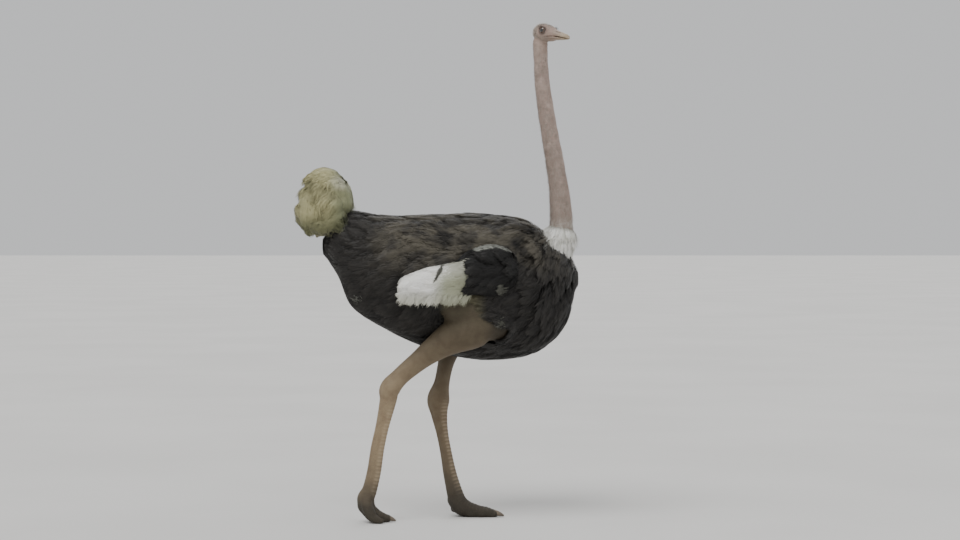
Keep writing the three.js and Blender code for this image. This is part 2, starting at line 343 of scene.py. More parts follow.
@dataclass(frozen=True)
class Hull:
    """A body along X. Each section is an egg between its top, its bottom and its widest line.

    A section's point is (x, w c, m + r s), where c and s are the cosine and sine of the angle,
    each bent by the power `square`, w the half width, m the widest line's height, and r the
    reach from there to the top or the bottom.
    """

    stations: Stations
    inset: float = 0.0
    square: float = 1.0

    def section(self, t: Array) -> tuple[Array, ...]:
        """x, top, bottom, half width and widest line at t, in metres, less the inset.

        Args:
            t: places along the hull, 0 to 1.

        Returns:
            The five measures.
        """
        x, top, bottom, width, wide = np.moveaxis(spline(np.array(self.stations) * MM, t), -1, 0)
        floor = 0.15 * width
        return (x, np.maximum(top - self.inset, wide + floor),
                np.minimum(bottom + self.inset, wide - floor),
                np.maximum(width - self.inset, floor), wide)

    def point(self, t: Array, angle: Array) -> Array:
        """The surface's point at t along it and at an angle from the widest line.

        Args:
            t: places along the hull, 0 to 1.
            angle: turns from the left side upwards, in radians.

        Returns:
            The points.
        """
        x, top, bottom, width, wide = self.section(t)
        c, s = np.cos(angle), np.sin(angle)
        c, s = (np.sign(v) * np.abs(v) ** self.square for v in (c, s))
        reach = np.where(s > 0, top - wide, wide - bottom)
        return np.stack(np.broadcast_arrays(x, width * c, wide + reach * s), -1)

    def tube(self, rows: int, sides: int) -> Surface:
        """The whole hull as a closed surface; its rings shrink to a point at both ends.

        Args:
            rows: how many rings.
            sides: points on a ring.

        Returns:
            The closed surface.
        """
        ends = 1 - np.cos(np.linspace(0.15, 0.5, 5) * math.pi)
        t = np.linspace(0, 1, rows)
        rings = self.point(t[:, None], np.linspace(0, FULL_TURN, sides, endpoint=False)[None])
        middle = rings.mean(1, keepdims=True)
        size = np.linalg.norm(rings - middle, axis=-1).mean(1)
        caps = []
        for row, out in ((0, -1), (-1, 1)):
            reach = np.sqrt(np.clip(1 - (1 - ends) ** 2, 0, 1))[:, None, None]
            dome = middle[row] + (rings[row] - middle[row]) * reach
            dome[..., 0] += out * 0.45 * size[row] * (1 - ends)[:, None]
            caps.append(dome)
        all_rings = np.concatenate((caps[0][:-1], rings, caps[1][:-1][::-1]))
        tip = np.array((0.48, 0, 0))
        return Surface.tube(all_rings, middle[0, 0] - tip * size[0], middle[-1, 0] + tip * size[-1])

    def distance(self, p: Array) -> Array:
        """About how far points lie outside the hull; negative inside.

        Args:
            p: points, in rows.

        Returns:
            The distances, in metres.
        """
        t = np.linspace(0, 1, 400)
        rows = np.stack(self.section(t), -1)
        x = np.clip(p[:, 0], rows[0, 0], rows[-1, 0])
        top, bottom, width, wide = (np.interp(x, rows[:, 0], rows[:, k]) for k in range(1, 5))
        s = p[:, 2] - wide
        reach = np.where(s > 0, top - wide, wide - bottom)
        out = np.hypot(p[:, 1], s)
        ratio = np.hypot(p[:, 1] / width, s / reach)
        near = out * (1 - 1 / np.maximum(ratio, 0.05))
        beyond = np.abs(p[:, 0] - x)
        return np.where(beyond > 0, np.hypot(np.maximum(near, 0), beyond), near)


@dataclass(frozen=True)
class Limb:
    """A limb along its stations: ellipses square to the path, with a dome at each end.

    A ring's point is the path's point, plus the half breadth times the cosine along the
    level sideways axis, plus the half depth times the sine along the third axis.
    """

    stations: Stations
    inset: float = 0.0
    domes: tuple[float, float] = (0.6, 0.6)

    def frame(self, t: Array) -> tuple[Array, ...]:
        """Centre, run, sideways axis, third axis and the two half sizes at t, in metres.

        Args:
            t: places along the path, 0 to 1.

        Returns:
            The five arrays.
        """
        rows = spline(np.array(self.stations) * MM, t)
        step = 1e-3
        ahead = spline(np.array(self.stations)[:, :3] * MM, np.clip(t + step, 0, 1))
        behind = spline(np.array(self.stations)[:, :3] * MM, np.clip(t - step, 0, 1))
        run = unit(ahead - behind)
        aside = unit(np.array((0.0, 1.0, 0.0)) - run * run[..., 1:2])
        return rows[..., :3], run, aside, np.cross(run, aside), rows[..., 3:] - self.inset

    def point(self, t: Array, angle: Array, scale: Array | float = 1.0) -> Array:
        """The surface's point at t along the path and at an angle round it.

        Args:
            t: places along the path.
            angle: turns round it.
            scale: a share of the half sizes.

        Returns:
            The points.
        """
        centre, _, aside, third, size = self.frame(t)
        c, s = (np.asarray(f(angle))[..., None] for f in (np.cos, np.sin))
        return centre + (aside * size[..., :1] * c + third * size[..., 1:] * s) * scale

    def lengths(self) -> tuple[Array, Array]:
        """Even steps of t, and the length of the path up to each.

        Returns:
            The steps, and the lengths in metres.
        """
        t = np.linspace(0, 1, 600)
        run = np.linalg.norm(np.diff(self.frame(t)[0], axis=0), axis=1)
        return t, np.concatenate(((0,), np.cumsum(run)))

    def places(self, pitch: float) -> Array:
        """Values of t whose rings lie about pitch apart along the path.

        Args:
            pitch: the distance between rings, in metres.

        Returns:
            The values of t.
        """
        t, length = self.lengths()
        return np.interp(np.linspace(0, length[-1], int(length[-1] / pitch) + 2), length, t)

    def reach(self, t: Array) -> Array:
        """The length of the path up to t, in metres."""
        return np.interp(t, *self.lengths())

    def tube(self, pitch: float, sides: int,
             relief: Callable[[Array, Array, Array], Array] | None = None) -> Surface:
        """The whole limb as a closed surface.

        Args:
            pitch: distance between rings.
            sides: points on a ring.
            relief: metres to raise the surface, from t, the angle and the point there.

        Returns:
            The closed surface.
        """
        t = self.places(pitch)
        angle = np.linspace(0, FULL_TURN, sides, endpoint=False)
        rings = self.point(t[:, None], angle[None])
        centre, run, *_ = self.frame(t)
        if relief is not None:
            out = unit(rings - centre[:, None])
            rings = rings + out * relief(t[:, None], angle[None], rings)[..., None]
        size = np.linalg.norm(rings - centre[:, None], axis=-1).mean(1)
        turns = np.linspace(0.2, 0.8, 5) * math.pi / 2
        caps, tips = [], []
        for row, out, dome in ((0, -1, self.domes[0]), (-1, 1, self.domes[1])):
            shift = run[row] * out * dome * size[row]
            shrink, reach = np.cos(turns)[:, None, None], np.sin(turns)[:, None, None]
            caps.append(centre[row] + (rings[row] - centre[row]) * shrink + shift * reach)
            tips.append(centre[row] + shift)
        return Surface.tube(np.concatenate((caps[0][::-1], rings, caps[1])), *tips)

    def locate(self, p: Array) -> tuple[Array, Array, Array]:
        """Where points lie about the limb.

        Args:
            p: points, in rows.

        Returns:
            The distance outside its surface, the length along its path, and the sine of the
            angle round it.
        """
        t = self.places(0.016)
        centre, run, aside, third, size = self.frame(t)
        near = ((centre ** 2).sum(1) - 2 * p @ centre.T).argmin(1)
        d = p - centre[near]
        a, b, along = (np.einsum("ij,ij->i", d, axis[near]) for axis in (aside, third, run))
        wide, deep = size[near].T
        before = np.where(near == 0, np.maximum(-along, 0), 0)
        after = np.where(near == len(t) - 1, np.maximum(along, 0), 0)
        past = before / (self.domes[0] * wide) + after / (self.domes[1] * wide)
        ratio = np.sqrt((a / wide) ** 2 + (b / deep) ** 2 + past ** 2)
        out = np.sqrt(a ** 2 + b ** 2 + before ** 2 + after ** 2)
        return (out * (1 - 1 / np.maximum(ratio, 0.05)), self.reach(t)[near] + along,
                b / deep / np.maximum(ratio, 0.05))

    def distance(self, p: Array) -> Array:
        """About how far points lie outside the limb, domes and all; negative inside."""
        return self.locate(p)[0]


@dataclass(frozen=True)
class Ball:
    """A round lump. Its t runs from the top down, evenly in height."""

    centre: Array
    radius: float

    def point(self, t: Array, angle: Array) -> Array:
        """The surface's point at t and at an angle round the upright axis.

        Args:
            t: places from the top down, 0 to 1.
            angle: turns round the upright axis.

        Returns:
            The points.
        """
        level = 1 - 2 * t
        ring = np.sqrt(np.clip(1 - level ** 2, 0, 1))
        way = np.stack((ring * np.cos(angle), ring * np.sin(angle), level), -1)
        return self.centre + self.radius * way

    def distance(self, p: Array) -> Array:
        """How far points lie outside the ball; negative inside."""
        return np.linalg.norm(p - self.centre, axis=-1) - self.radius


Form = Hull | Limb | Ball


def mirrored(stations: Stations) -> Stations:
    """The same stations on the bird's other side."""
    return tuple((x, -y, *rest) for x, y, *rest in stations)


def on_side(stations: Stations, side: Side) -> Stations:
    """Stations given for the right side, set on either side."""
    return stations if side is Side.RIGHT else mirrored(stations)


class Field:
    """How far any place is from the nearest of some forms, kept on a grid.

    The grid holds the least of the forms' distances and its slope. A place between the grid's
    corners takes the weighted mean of the eight corners about it.
    """

    def __init__(self, forms: Sequence[Form], low: Sequence[float], high: Sequence[float],
                 pitch: float = 0.014) -> None:
        """Measures the forms on a grid.

        Args:
            forms: the forms.
            low: the grid's lowest corner, in metres.
            high: its highest corner.
            pitch: the space between its points.
        """
        self.low, self.pitch = np.array(low), pitch
        self.shape = tuple(int(math.ceil(s)) + 1 for s in (np.array(high) - self.low) / pitch)
        axes = [self.low[k] + np.arange(self.shape[k]) * pitch for k in range(3)]
        p = np.stack(np.meshgrid(*axes, indexing="ij"), -1).reshape(-1, 3)
        least = np.min([form.distance(p) for form in forms], axis=0).reshape(self.shape)
        self.grid = np.stack((least, *np.gradient(least, pitch)), -1)

    def read(self, p: Array) -> tuple[Array, Array]:
        """Distance and slope at each point.

        Args:
            p: points, in rows.

        Returns:
            The distances, and the slopes as rows.
        """
        place = np.clip((p - self.low) / self.pitch, 0, np.array(self.shape) - 1.001)
        i = place.astype(int)
        f = place - i
        total = 0.0
        for corner in np.ndindex(2, 2, 2):
            weight = np.prod(np.where(corner, f, 1 - f), axis=-1)[:, None]
            j = i + corner
            total = total + weight * self.grid[j[:, 0], j[:, 1], j[:, 2]]
        return total[:, 0], total[:, 1:]

    def settle(self, p: Array, level: Array | float = 0.0, pull: float = 1.0) -> Array:
        """Moves points onto the surface at a level; those outside it come back by pull only.

        Args:
            p: points, in rows.
            level: the distance from the forms to come to.
            pull: how much of the way points outside come back.

        Returns:
            The moved points.
        """
        value, slope = self.read(p)
        off = value - level
        off = np.where(off > 0, off * pull, off)
        return p - slope * (off / np.maximum((slope ** 2).sum(-1), 0.2))[:, None]


# ---- Shader arithmetic ----

class Link:
    """A node's output that takes part in arithmetic; each operator adds a Math node."""

    def __init__(self, tree: Tree, socket: bpy.types.NodeSocket) -> None:
        """Keeps the output and the tree that it belongs to."""
        self.tree, self.socket = tree, socket

    def __add__(self, other: Term) -> Link:
        """The sum."""
        return self.tree.math("ADD", self, other)

    def __mul__(self, other: Term) -> Link:
        """The product."""
        return self.tree.math("MULTIPLY", self, other)

    def __sub__(self, other: Term) -> Link:
        """The difference."""
        return self.tree.math("SUBTRACT", self, other)

    def __rsub__(self, other: Term) -> Link:
        """The difference the other way round."""
        return self.tree.math("SUBTRACT", other, self)

    __radd__ = __add__
    __rmul__ = __mul__

    def between(self, low: float, high: float) -> Link:
        """A smooth step from 0 at low to 1 at high."""
        return self.tree.node("ShaderNodeMapRange", {"interpolation_type": "SMOOTHSTEP"},
                              {"Value": self, "From Min": low, "From Max": high})


Term = Link | float
Colour = tuple[float, float, float]


class Tree:
    """The nodes of one material."""

    def __init__(self, name: str) -> None:
        """Makes a material with its shader and nothing else.

        Args:
            name: the material's name.
        """
        self.material = bpy.data.materials.new(name)
        self.material.use_nodes = True
        self.nodes = self.material.node_tree.nodes
        self.shader = self.nodes["Principled BSDF"]

    def node(self, kind: str, settings: dict | None = None, inputs: dict | None = None,
             output: int | str = 0) -> Link:
        """Adds a node.

        Args:
            kind: the node's type.
            settings: its properties, set first.
            inputs: values or links for its sockets, by name or number.
            output: which of its outputs to hand back.

        Returns:
            The output.
        """
        made = self.nodes.new(kind)
        for key, value in (settings or {}).items():
            setattr(made, key, value)
        for key, value in (inputs or {}).items():
            self.feed(made.inputs[key], value)
        return Link(self, made.outputs[output])

    def feed(self, socket: bpy.types.NodeSocket, value: object) -> None:
        """Links a socket to an output, or gives it a plain value.

        Args:
            socket: the input socket.
            value: a link, a number, a colour of three numbers or a vector.
        """
        if isinstance(value, Link):
            self.material.node_tree.links.new(value.socket, socket)
        elif isinstance(value, tuple) and len(value) == 3 and socket.type == "RGBA":
            socket.default_value = (*value, 1.0)
        else:
            socket.default_value = value

    def math(self, operation: str, *terms: Term) -> Link:
        """A Math node on one or two values."""
        return self.node("ShaderNodeMath", {"operation": operation}, dict(enumerate(terms)))

    def mix(self, factor: Term, a: Link | Colour, b: Link | Colour, blend: str = "MIX") -> Link:
        """Colour a where the factor is 0, and b where it is 1."""
        return self.node("ShaderNodeMix", {"data_type": "RGBA", "blend_type": blend},
                         {0: factor, 6: a, 7: b}, 2)

    def place(self) -> Link:
        """Object coordinates, which are the frame's own metres."""
        return self.node("ShaderNodeTexCoord", output="Object")

    def stretched(self, scale: Colour) -> Link:
        """Object coordinates, scaled along each axis."""
        return self.node("ShaderNodeMapping", None, {"Vector": self.place(), "Scale": scale})

    def noise(self, scale: float, detail: float = 3.0, where: Link | None = None) -> Link:
        """Cloudy noise of about 0 to 1."""
        return self.node("ShaderNodeTexNoise", None, {
            "Vector": where or self.place(), "Scale": scale, "Detail": detail})

    def cells(self, scale: float, feature: str = "F1", where: Link | None = None) -> Link:
        """Distance within a pattern of cells."""
        return self.node("ShaderNodeTexVoronoi", {"feature": feature}, {
            "Vector": where or self.place(), "Scale": scale}, "Distance")

    def painted(self, name: str, output: str = "Fac") -> Link:
        """What the mesh carries on its vertices under that name."""
        return self.node("ShaderNodeAttribute", {"attribute_name": name}, output=output)

    def channels(self, colour: Link) -> tuple[Link, Link, Link]:
        """A colour's three channels."""
        parts = self.node("ShaderNodeSeparateColor", None, {"Color": colour})
        return tuple(Link(self, s) for s in parts.socket.node.outputs)

    def bump(self, height: Link, depth: float) -> None:
        """Raises the surface by height times depth, in metres."""
        self.feed(self.shader.inputs["Normal"], self.node("ShaderNodeBump", None, {
            "Height": height, "Distance": depth}))

    def finish(self, **sockets: object) -> bpy.types.Material:
        """Feeds the shader's sockets, named with underscores, and hands back the material.

        Args:
            sockets: the sockets' values or links.

        Returns:
            The material.
        """
        for key, value in sockets.items():
            name = key.replace("_", " ").title().replace("Ior", "IOR")
            self.feed(self.shader.inputs[name], value)
        return self.material


# ---- Finishes ----

# A zone's far limits along an axis where it has none, and both pairs of limits.
NEVER = (8.0, 9.0)
ALL_ALONG = (-9.0, -8.0, *NEVER)


@dataclass(frozen=True)
class Zone:
    """Where plumes take another colour: their own, or painted light and shade.

    The four numbers on each line are places in the frame, in metres: where the colour starts,
    where it is full, as far as it is full, and where it has gone.
    """

    tone: Colour
    ahead: tuple[float, float, float, float] = ALL_ALONG
    up: tuple[float, float, float, float] = ALL_ALONG
    most: float = 1.0
    mottled: bool = False

    def over(self, tree: Tree, body: Link, tint: Link) -> Link:
        """The body colour with the zone's own laid over it.

        Args:
            tree: the material's nodes.
            body: the colour so far.
            tint: each plume's own number.

        Returns:
            The new colour.
        """
        share = 1.0
        if self.mottled:
            share = tree.noise(13.0).between(0.40, 0.60) * 0.8 + tint * 0.4
        for axis, (start, full, still, gone) in (("X", self.ahead), ("Z", self.up)):
            place = tree.node("ShaderNodeSeparateXYZ", None, {"Vector": tree.place()}, axis)
            share = place.between(start, full) * place.between(gone, still) * share
        return tree.mix(share * self.most, body, self.tone)


@dataclass(frozen=True)
class PlumageFinish:
    """Loose barbs: a dark root, a body colour that varies from plume to plume, a worn tip."""

    name: str
    root: Colour
    low: Colour
    high: Colour
    tip: Colour
    rough: float = 0.62
    sheen: float = 0.25
    zones: tuple[Zone, ...] = ()
    hidden: float = 0.4  # how far up the plume the root's colour reaches

    def material(self) -> bpy.types.Material:
        """Base colour from each plume's own tint, its length and a cloudy soil.

        Returns:
            The material.
        """
        tree = Tree(self.name)
        tint, along, edge = tree.channels(tree.painted("plume", "Color"))
        murk = tree.noise(9.0, 4.0)
        body = tree.mix((tint * 0.75 + murk * 0.25).between(0.15, 0.85), self.low, self.high)
        body = tree.mix((along + edge * 0.35).between(0.72, 1.25) * 0.8, body, self.tip)
        for zone in self.zones:
            body = zone.over(tree, body, tint)
        body = tree.mix(along.between(-0.1, self.hidden), self.root, body)
        return tree.finish(base_color=body, roughness=self.rough, sheen_weight=self.sheen,
                           sheen_roughness=0.5, specular_ior_level=0.24)


@dataclass(frozen=True)
class SkinFinish:
    """Bare hide: painted flesh, mottled and creased, with scales where the legs have them."""

    name: str = "hide"

    def material(self) -> bpy.types.Material:
        """Flesh colour darkened in its creases, with pores, scales and fine folds raised.

        Returns:
            The material.
        """
        tree = Tree(self.name)
        flesh = tree.painted("flesh", "Color")
        scaly = tree.painted("scaly")
        patches = tree.noise(26.0, 5.0)
        grains = tree.noise(190.0)
        scales = tree.cells(250.0, "DISTANCE_TO_EDGE", tree.stretched((1.0, 1.0, 0.7)))
        scales = scales.between(0.0, 0.16)
        pores = tree.cells(150.0).between(0.45, 0.1) * (1 - scaly)
        folds = tree.noise(70.0, 4.0, tree.stretched((1.0, 1.0, 3.2)))
        colour = tree.mix(patches.between(0.35, 0.7) * 0.5, flesh,
                          tree.mix(1.0, flesh, (0.62, 0.55, 0.52), "MULTIPLY"))
        colour = tree.mix((1 - scales) * scaly * 0.38, colour, (0.09, 0.065, 0.045))
        colour = tree.mix(grains.between(0.5, 0.75) * 0.3, colour,
                          tree.mix(1.0, flesh, (1.25, 1.2, 1.15), "MULTIPLY"))
        height = scales * scaly * 0.6 + folds * 0.5 * (1 - scaly) + grains * 0.35 + pores * 0.25
        tree.bump(height, 0.0016)
        return tree.finish(base_color=colour, roughness=0.55 + grains * 0.2,
                           specular_ior_level=0.35)


@dataclass(frozen=True)
class HornFinish:
    """Bill or claw: long streaks from base to tip, painted shade in the bill's slits, a satin
    gloss.
    """

    name: str
    base: Colour
    tip: Colour
    stain: Colour
    rough: float = 0.38

    def material(self) -> bpy.types.Material:
        """Colour by the painted way along the horn, with fine streaks.

        Returns:
            The material.
        """
        tree = Tree(self.name)
        along, dark, _ = tree.channels(tree.painted("horn", "Color"))
        streaks = tree.noise(160.0, 4.0)
        clouds = tree.noise(45.0)
        colour = tree.mix((along + clouds * 0.4 - 0.2).between(0.25, 0.95), self.base, self.tip)
        colour = tree.mix(streaks.between(0.45, 0.75) * 0.35, colour, self.stain)
        # Painted shade in the nostrils and along the seam between the bill's halves.
        colour = tree.mix(dark, colour, (0.02, 0.012, 0.01))
        tree.bump(streaks + clouds, 0.0006)
        return tree.finish(base_color=colour, roughness=self.rough + streaks * 0.2,
                           specular_ior_level=0.5)


@dataclass(frozen=True)
class EyeFinish:
    """A wet ball: black pupil, brown iris with spokes, dark rim."""

    name: str = "eye_ball"

    def material(self) -> bpy.types.Material:
        """Colour by the painted angle off the eye's axis.

        Returns:
            The material.
        """
        tree = Tree(self.name)
        off_axis, spoke, _ = tree.channels(tree.painted("ball", "Color"))
        fleck = tree.noise(420.0, 4.0)
        iris = tree.mix((fleck * 0.6 + spoke * 0.5).between(0.3, 0.85), (0.035, 0.014, 0.006),
                        (0.12, 0.050, 0.017))
        colour = tree.mix(off_axis.between(0.36, 0.40), (0.003, 0.003, 0.003), iris)
        colour = tree.mix(off_axis.between(0.62, 0.74), colour, (0.02, 0.010, 0.007))
        return tree.finish(base_color=colour, roughness=0.12, coat_weight=1.0,
                           coat_roughness=0.02, specular_ior_level=0.6)


@dataclass(frozen=True)
class PlainFinish:
    """One dark or pale stuff with a cloudy variation, as on lashes and the floor."""

    name: str
    low: Colour
    high: Colour
    rough: float
    scale: float

    def material(self) -> bpy.types.Material:
        """Two tones in soft clouds.

        Returns:
            The material.
        """
        tree = Tree(self.name)
        colour = tree.mix(tree.noise(self.scale).between(0.3, 0.7), self.low, self.high)
        return tree.finish(base_color=colour, roughness=self.rough)


# ---- Plumes ----

@dataclass
class Tufts:
    """A joined mesh of many tufts, with each vertex's colour data and its place in the bake."""

    surface: Surface
    colour: Array
    patch: Array
    normal: Array

    def held(self, body: Field, proud: float) -> Tufts:
        """Presses barbs that stand out of a form back towards it.

        A height h over the form becomes k (1 - exp(-h / k)), where k is `proud` times half to
        one and a half, by the plume's own tint, so that the order of the barbs is kept.

        Args:
            body: the form's field.
            proud: how far the tips may stand out, in metres.

        Returns:
            The same tufts.
        """
        p = self.surface.points
        most = proud * (0.5 + self.colour[:, 0])
        value, slope = body.read(p)
        goal = most * (1 - np.exp(-np.maximum(value, 0) / most))
        for _ in range(3):
            off = np.maximum(value - goal, 0) / np.maximum((slope ** 2).sum(-1), 0.2)
            p = p - slope * off[:, None]
            value, slope = body.read(p)
        self.surface.points = p
        return self

    def mesh(self, name: str) -> bpy.types.Object:
        """The object, with its soft normals, its colour attribute and its bake map.

        Args:
            name: the piece's name.

        Returns:
            The object.
        """
        ob = self.surface.mesh(name)
        ob.data.normals_split_custom_set_from_vertices(unit(self.normal))
        paint(ob, "plume", self.colour)
        corners = np.zeros(len(ob.data.loops), np.int32)
        ob.data.loops.foreach_get("vertex_index", corners)
        layer = ob.data.uv_layers.new(name="OFBake")
        layer.uv.foreach_set("vector", self.patch[corners].astype(np.float32).ravel())
        return ob


@dataclass
class Tracks:
    """Where a number of plumes run: a path each, the way out along it, and the root's place."""

    paths: Array
    out: Array
    roots: Array

    @property
    def along(self) -> Array:
        """0 at the root to 1 at the tip, for each point of a path."""
        return np.linspace(0, 1, self.paths.shape[1])

    def chosen(self, mask: Array) -> Tracks:
        """Only some of them."""
        return Tracks(self.paths[mask], self.out[mask], self.roots[mask])

    def cut(self, share: Array) -> Tracks:
        """The same paths, each ended at a share of its length.

        Args:
            share: for each path, 0 to 1.

        Returns:
            The shorter tracks.
        """
        last = self.paths.shape[1] - 1
        place = self.along[None] * share[:, None] * last
        i = np.minimum(place.astype(int), last - 1)
        f = (place - i)[..., None]
        row = np.arange(len(share))[:, None]
        ends = [v[row, i] * (1 - f) + v[row, i + 1] * f for v in (self.paths, self.out)]
        return Tracks(ends[0], unit(ends[1]), self.roots)

    def raised(self, *depths: tuple[float, float], spread: Array | float = 0.0) -> Tracks:
        """Moves each path in or out by a depth that goes through (along, metres) pairs.

        Args:
            depths: the pairs, joined by a smooth line.
            spread: metres more at the tip, for each plume.

        Returns:
            The moved tracks.
        """
        at, value = np.array(depths).T
        depth = np.interp(self.along, at, value)[None] + np.asarray(spread)[..., None] * self.along
        return Tracks(self.paths + self.out * depth[..., None], self.out, self.roots)

    def clumped(self, every: int, pull: float, heave: float, seed: int) -> Tracks:
        """Draws the tips together in locks, each lock heaved in or out as one.

        Args:
            every: about how many plumes share a lock.
            pull: how near the tips come to their lock's own, 0 to 1.
            heave: how far a lock's tips are moved in or out at most, in metres.
            seed: names the draw.

        Returns:
            The moved tracks.
        """
        rng = np.random.default_rng(seed)
        lead = np.sort(rng.choice(len(self.paths), max(len(self.paths) // every, 1), replace=False))
        start, guide = self.paths[:, 1], self.paths[lead, 1]
        nearest = ((guide ** 2).sum(1) - 2 * start @ guide.T).argmin(1)
        lift = rng.uniform(-1, 1, len(lead))[nearest] * heave
        share = (self.along ** 1.4)[None, :, None]
        drawn = self.paths + (self.paths[lead][nearest] - self.paths) * share * pull
        return Tracks(drawn + self.out * lift[:, None, None] * share, self.out, self.roots)


@dataclass(frozen=True)
class Plume:
    """How one sort of plume is made: a quill with locks of loose barbs down either side.

    A lock is a tapering strip of a few bends. It leaves the quill at an angle that narrows
    towards the plume's tip and along the lock, rises, droops inwards, and hangs down by `sag`.
    Its length follows sin(pi (0.12 + 0.80 s)) to the power 0.6 along the quill. The shading
    normals are the plume's own outward way, leaning aside towards the ends of its barbs, as a
    soft vane's do.
    """

    locks: int = 9
    bends: int = 2
    reach: float = 0.34  # the longest barbs, as a share of the plume's length
    lean: tuple[float, float] = (46.0, 10.0)  # degrees off the quill at the root and the tip
    curl: float = 0.75  # how much of the lean is lost along a lock
    breadth: float = 0.24  # a lock's half breadth, as a share of the space between locks
    bow: float = 0.20
    droop: float = 0.32
    sag: float = 0.40
    quill: float = 0.0012
    ragged: float = 0.45
    soft: float = 0.5  # how far the normals lean aside
    patch: float = 0.0029

    def faces(self, points: int) -> tuple[Array, Array]:
        """The four- and three-cornered faces of one plume with that many points on its quill.

        Args:
            points: how many points are on the quill.

        Returns:
            The faces, as rows of corners.
        """
        rows = 2 * self.bends + 1
        lock = np.arange(self.locks)[:, None] * rows
        right, left = lock, lock + self.locks * rows
        quads, tris = [], []
        for k in range(0, 2 * self.bends - 2, 2):
            quads += [right + (k, k + 1, k + 3, k + 2), left + (k, k + 2, k + 3, k + 1)]
        end = rows - 3
        tris += [right + (end, end + 1, end + 2), left + (end, end + 2, end + 1)]
        q = np.arange(points - 1)[:, None] + self.locks * rows * 2
        quads.append(np.hstack((q, q + 1, q + points + 1, q + points)))
        return np.vstack(quads), np.vstack(tris)

    def build(self, tracks: Tracks, tint: Array, seed: int) -> Tufts:
        """Plumes on every track.

        Args:
            tracks: where they run.
            tint: a number from 0 to 1 for each plume, which its colour follows.
            seed: names the draw of ragged lengths.

        Returns:
            The tufts. Their colour data are the tint, the way along the quill and the way
            out along a lock.
        """
        rng = np.random.default_rng(seed)
        count, points = tracks.paths.shape[:2]
        s = np.linspace(0.06, 0.985, self.locks)
        place = s * (points - 1)
        i = np.minimum(place.astype(int), points - 2)
        blend = np.zeros((self.locks, points))
        blend[np.arange(self.locks), i] = 1 - (place - i)
        blend[np.arange(self.locks), i + 1] = place - i
        run = np.gradient(tracks.paths, axis=1)
        length = np.linalg.norm(np.diff(tracks.paths, axis=1), axis=-1).sum(1)[:, None, None]
        base, ahead, out = (np.einsum("bk,nkd->nbd", blend, v)
                            for v in (tracks.paths, run, tracks.out))
        ahead = unit(ahead)
        side = unit(np.cross(out, ahead))
        out = np.cross(ahead, side)
        fall = out * out[..., 2:] - (0, 0, 1)
        lean = np.radians(np.linspace(*self.lean, self.locks))[None, :, None]
        shape = np.sin(math.pi * (0.12 + 0.80 * s)) ** 0.6
        half = length * self.breadth / self.locks
        parts, normals, edges, ways = [], [], [], []
        share = np.append(np.repeat(np.arange(self.bends), 2), self.bends) / self.bends
        flank = np.append(np.tile((-1.0, 1.0), self.bends), 0.0)
        for sign in (1, -1):
            barb = length * self.reach * shape[None, :, None]
            barb = barb * (1 + self.ragged * rng.uniform(-1, 1, (count, self.locks, 1)))
            swing = lean * (1 + 0.35 * rng.uniform(-1, 1, (count, self.locks, 1)))
            middle, rows = base, []
            for k in range(self.bends):
                q = k / self.bends
                turn = swing * (1 - self.curl * q)
                leave = ahead * np.cos(turn) + side * sign * np.sin(turn)
                leave = leave + fall * self.sag * q
                across = (ahead * np.sin(turn) - side * sign * np.cos(turn)) * half
                rows += [middle - across * (1 - 0.35 * q), middle + across * (1 - 0.35 * q)]
                rise = self.bow + (-self.droop - self.bow) * k / max(self.bends - 1, 1)
                middle = middle + (leave + out * rise) * barb / self.bends
            parts.append(np.stack(rows + [middle], 2).reshape(count, -1, 3))
            lift = unit(out[:, :, None] + side[:, :, None] * (sign * self.soft * share)[:, None])
            normals.append(lift.reshape(count, -1, 3))
            edges.append(np.tile(share, self.locks))
            x = s[:, None] + shape[:, None] * self.reach * 0.6 * share + 0.02 * flank
            y = 0.5 + sign * (shape[:, None] * 0.42 * share - 0.02 * flank + 0.03)
            ways.append(np.stack((x / 1.25, y), -1).reshape(-1, 2))
        thin = (self.quill * (1 - 0.8 * tracks.along))[None, :, None]
        wide = unit(np.cross(tracks.out, unit(run)))
        parts += [tracks.paths - wide * thin, tracks.paths + wide * thin]
        normals += [tracks.out, tracks.out]
        edges += [np.zeros(points), np.zeros(points)]
        ways += [np.stack((tracks.along / 1.25, np.full(points, v)), -1) for v in (0.49, 0.51)]
        quads, tris = self.faces(points)
        vertex = np.concatenate(parts, 1)
        each = vertex.shape[1]
        start = (np.arange(count) * each)[:, None, None]
        stem = np.repeat(s, 2 * self.bends + 1)
        colour = np.empty((count, each, 4))
        colour[..., 0] = tint[:, None]
        colour[..., 1] = np.concatenate((stem, stem, tracks.along, tracks.along))
        colour[..., 2], colour[..., 3] = np.concatenate(edges), 1.0
        patch = 0.004 + 0.99 * tracks.roots[:, None] + (np.vstack(ways)[None] - 0.5) * self.patch
        return Tufts(Surface(vertex.reshape(-1, 3), (quads + start).reshape(-1, 4),
                             (tris + start).reshape(-1, 3)),
                     colour.reshape(-1, 4), patch.reshape(-1, 2),
                     np.concatenate(normals, 1).reshape(-1, 3))


def sow(form: Form, count: int, seed: int) -> tuple[Array, Array]:
    """Spreads places evenly over a form.

    Args:
        form: the hull, limb or ball.
        count: how many.
        seed: names the draw.

    Returns:
        The places, and for each its t and its angle as a share of a turn.
    """
    rng = np.random.default_rng(seed)
    t, turn = scatter(count * 6, seed).T
    step = 1e-3
    p = form.point(t, turn * FULL_TURN)
    along = form.point(np.where(t < 0.5, t + step, t - step), turn * FULL_TURN) - p
    around = form.point(t, turn * FULL_TURN + step) - p
    area = np.linalg.norm(np.cross(along, around), axis=-1)
    kept = np.flatnonzero(rng.random(len(t)) < area / np.quantile(area, 0.97))[:count]
    return p[kept], np.stack((t, turn), -1)[kept]


Lie = Callable[[Array], Array]


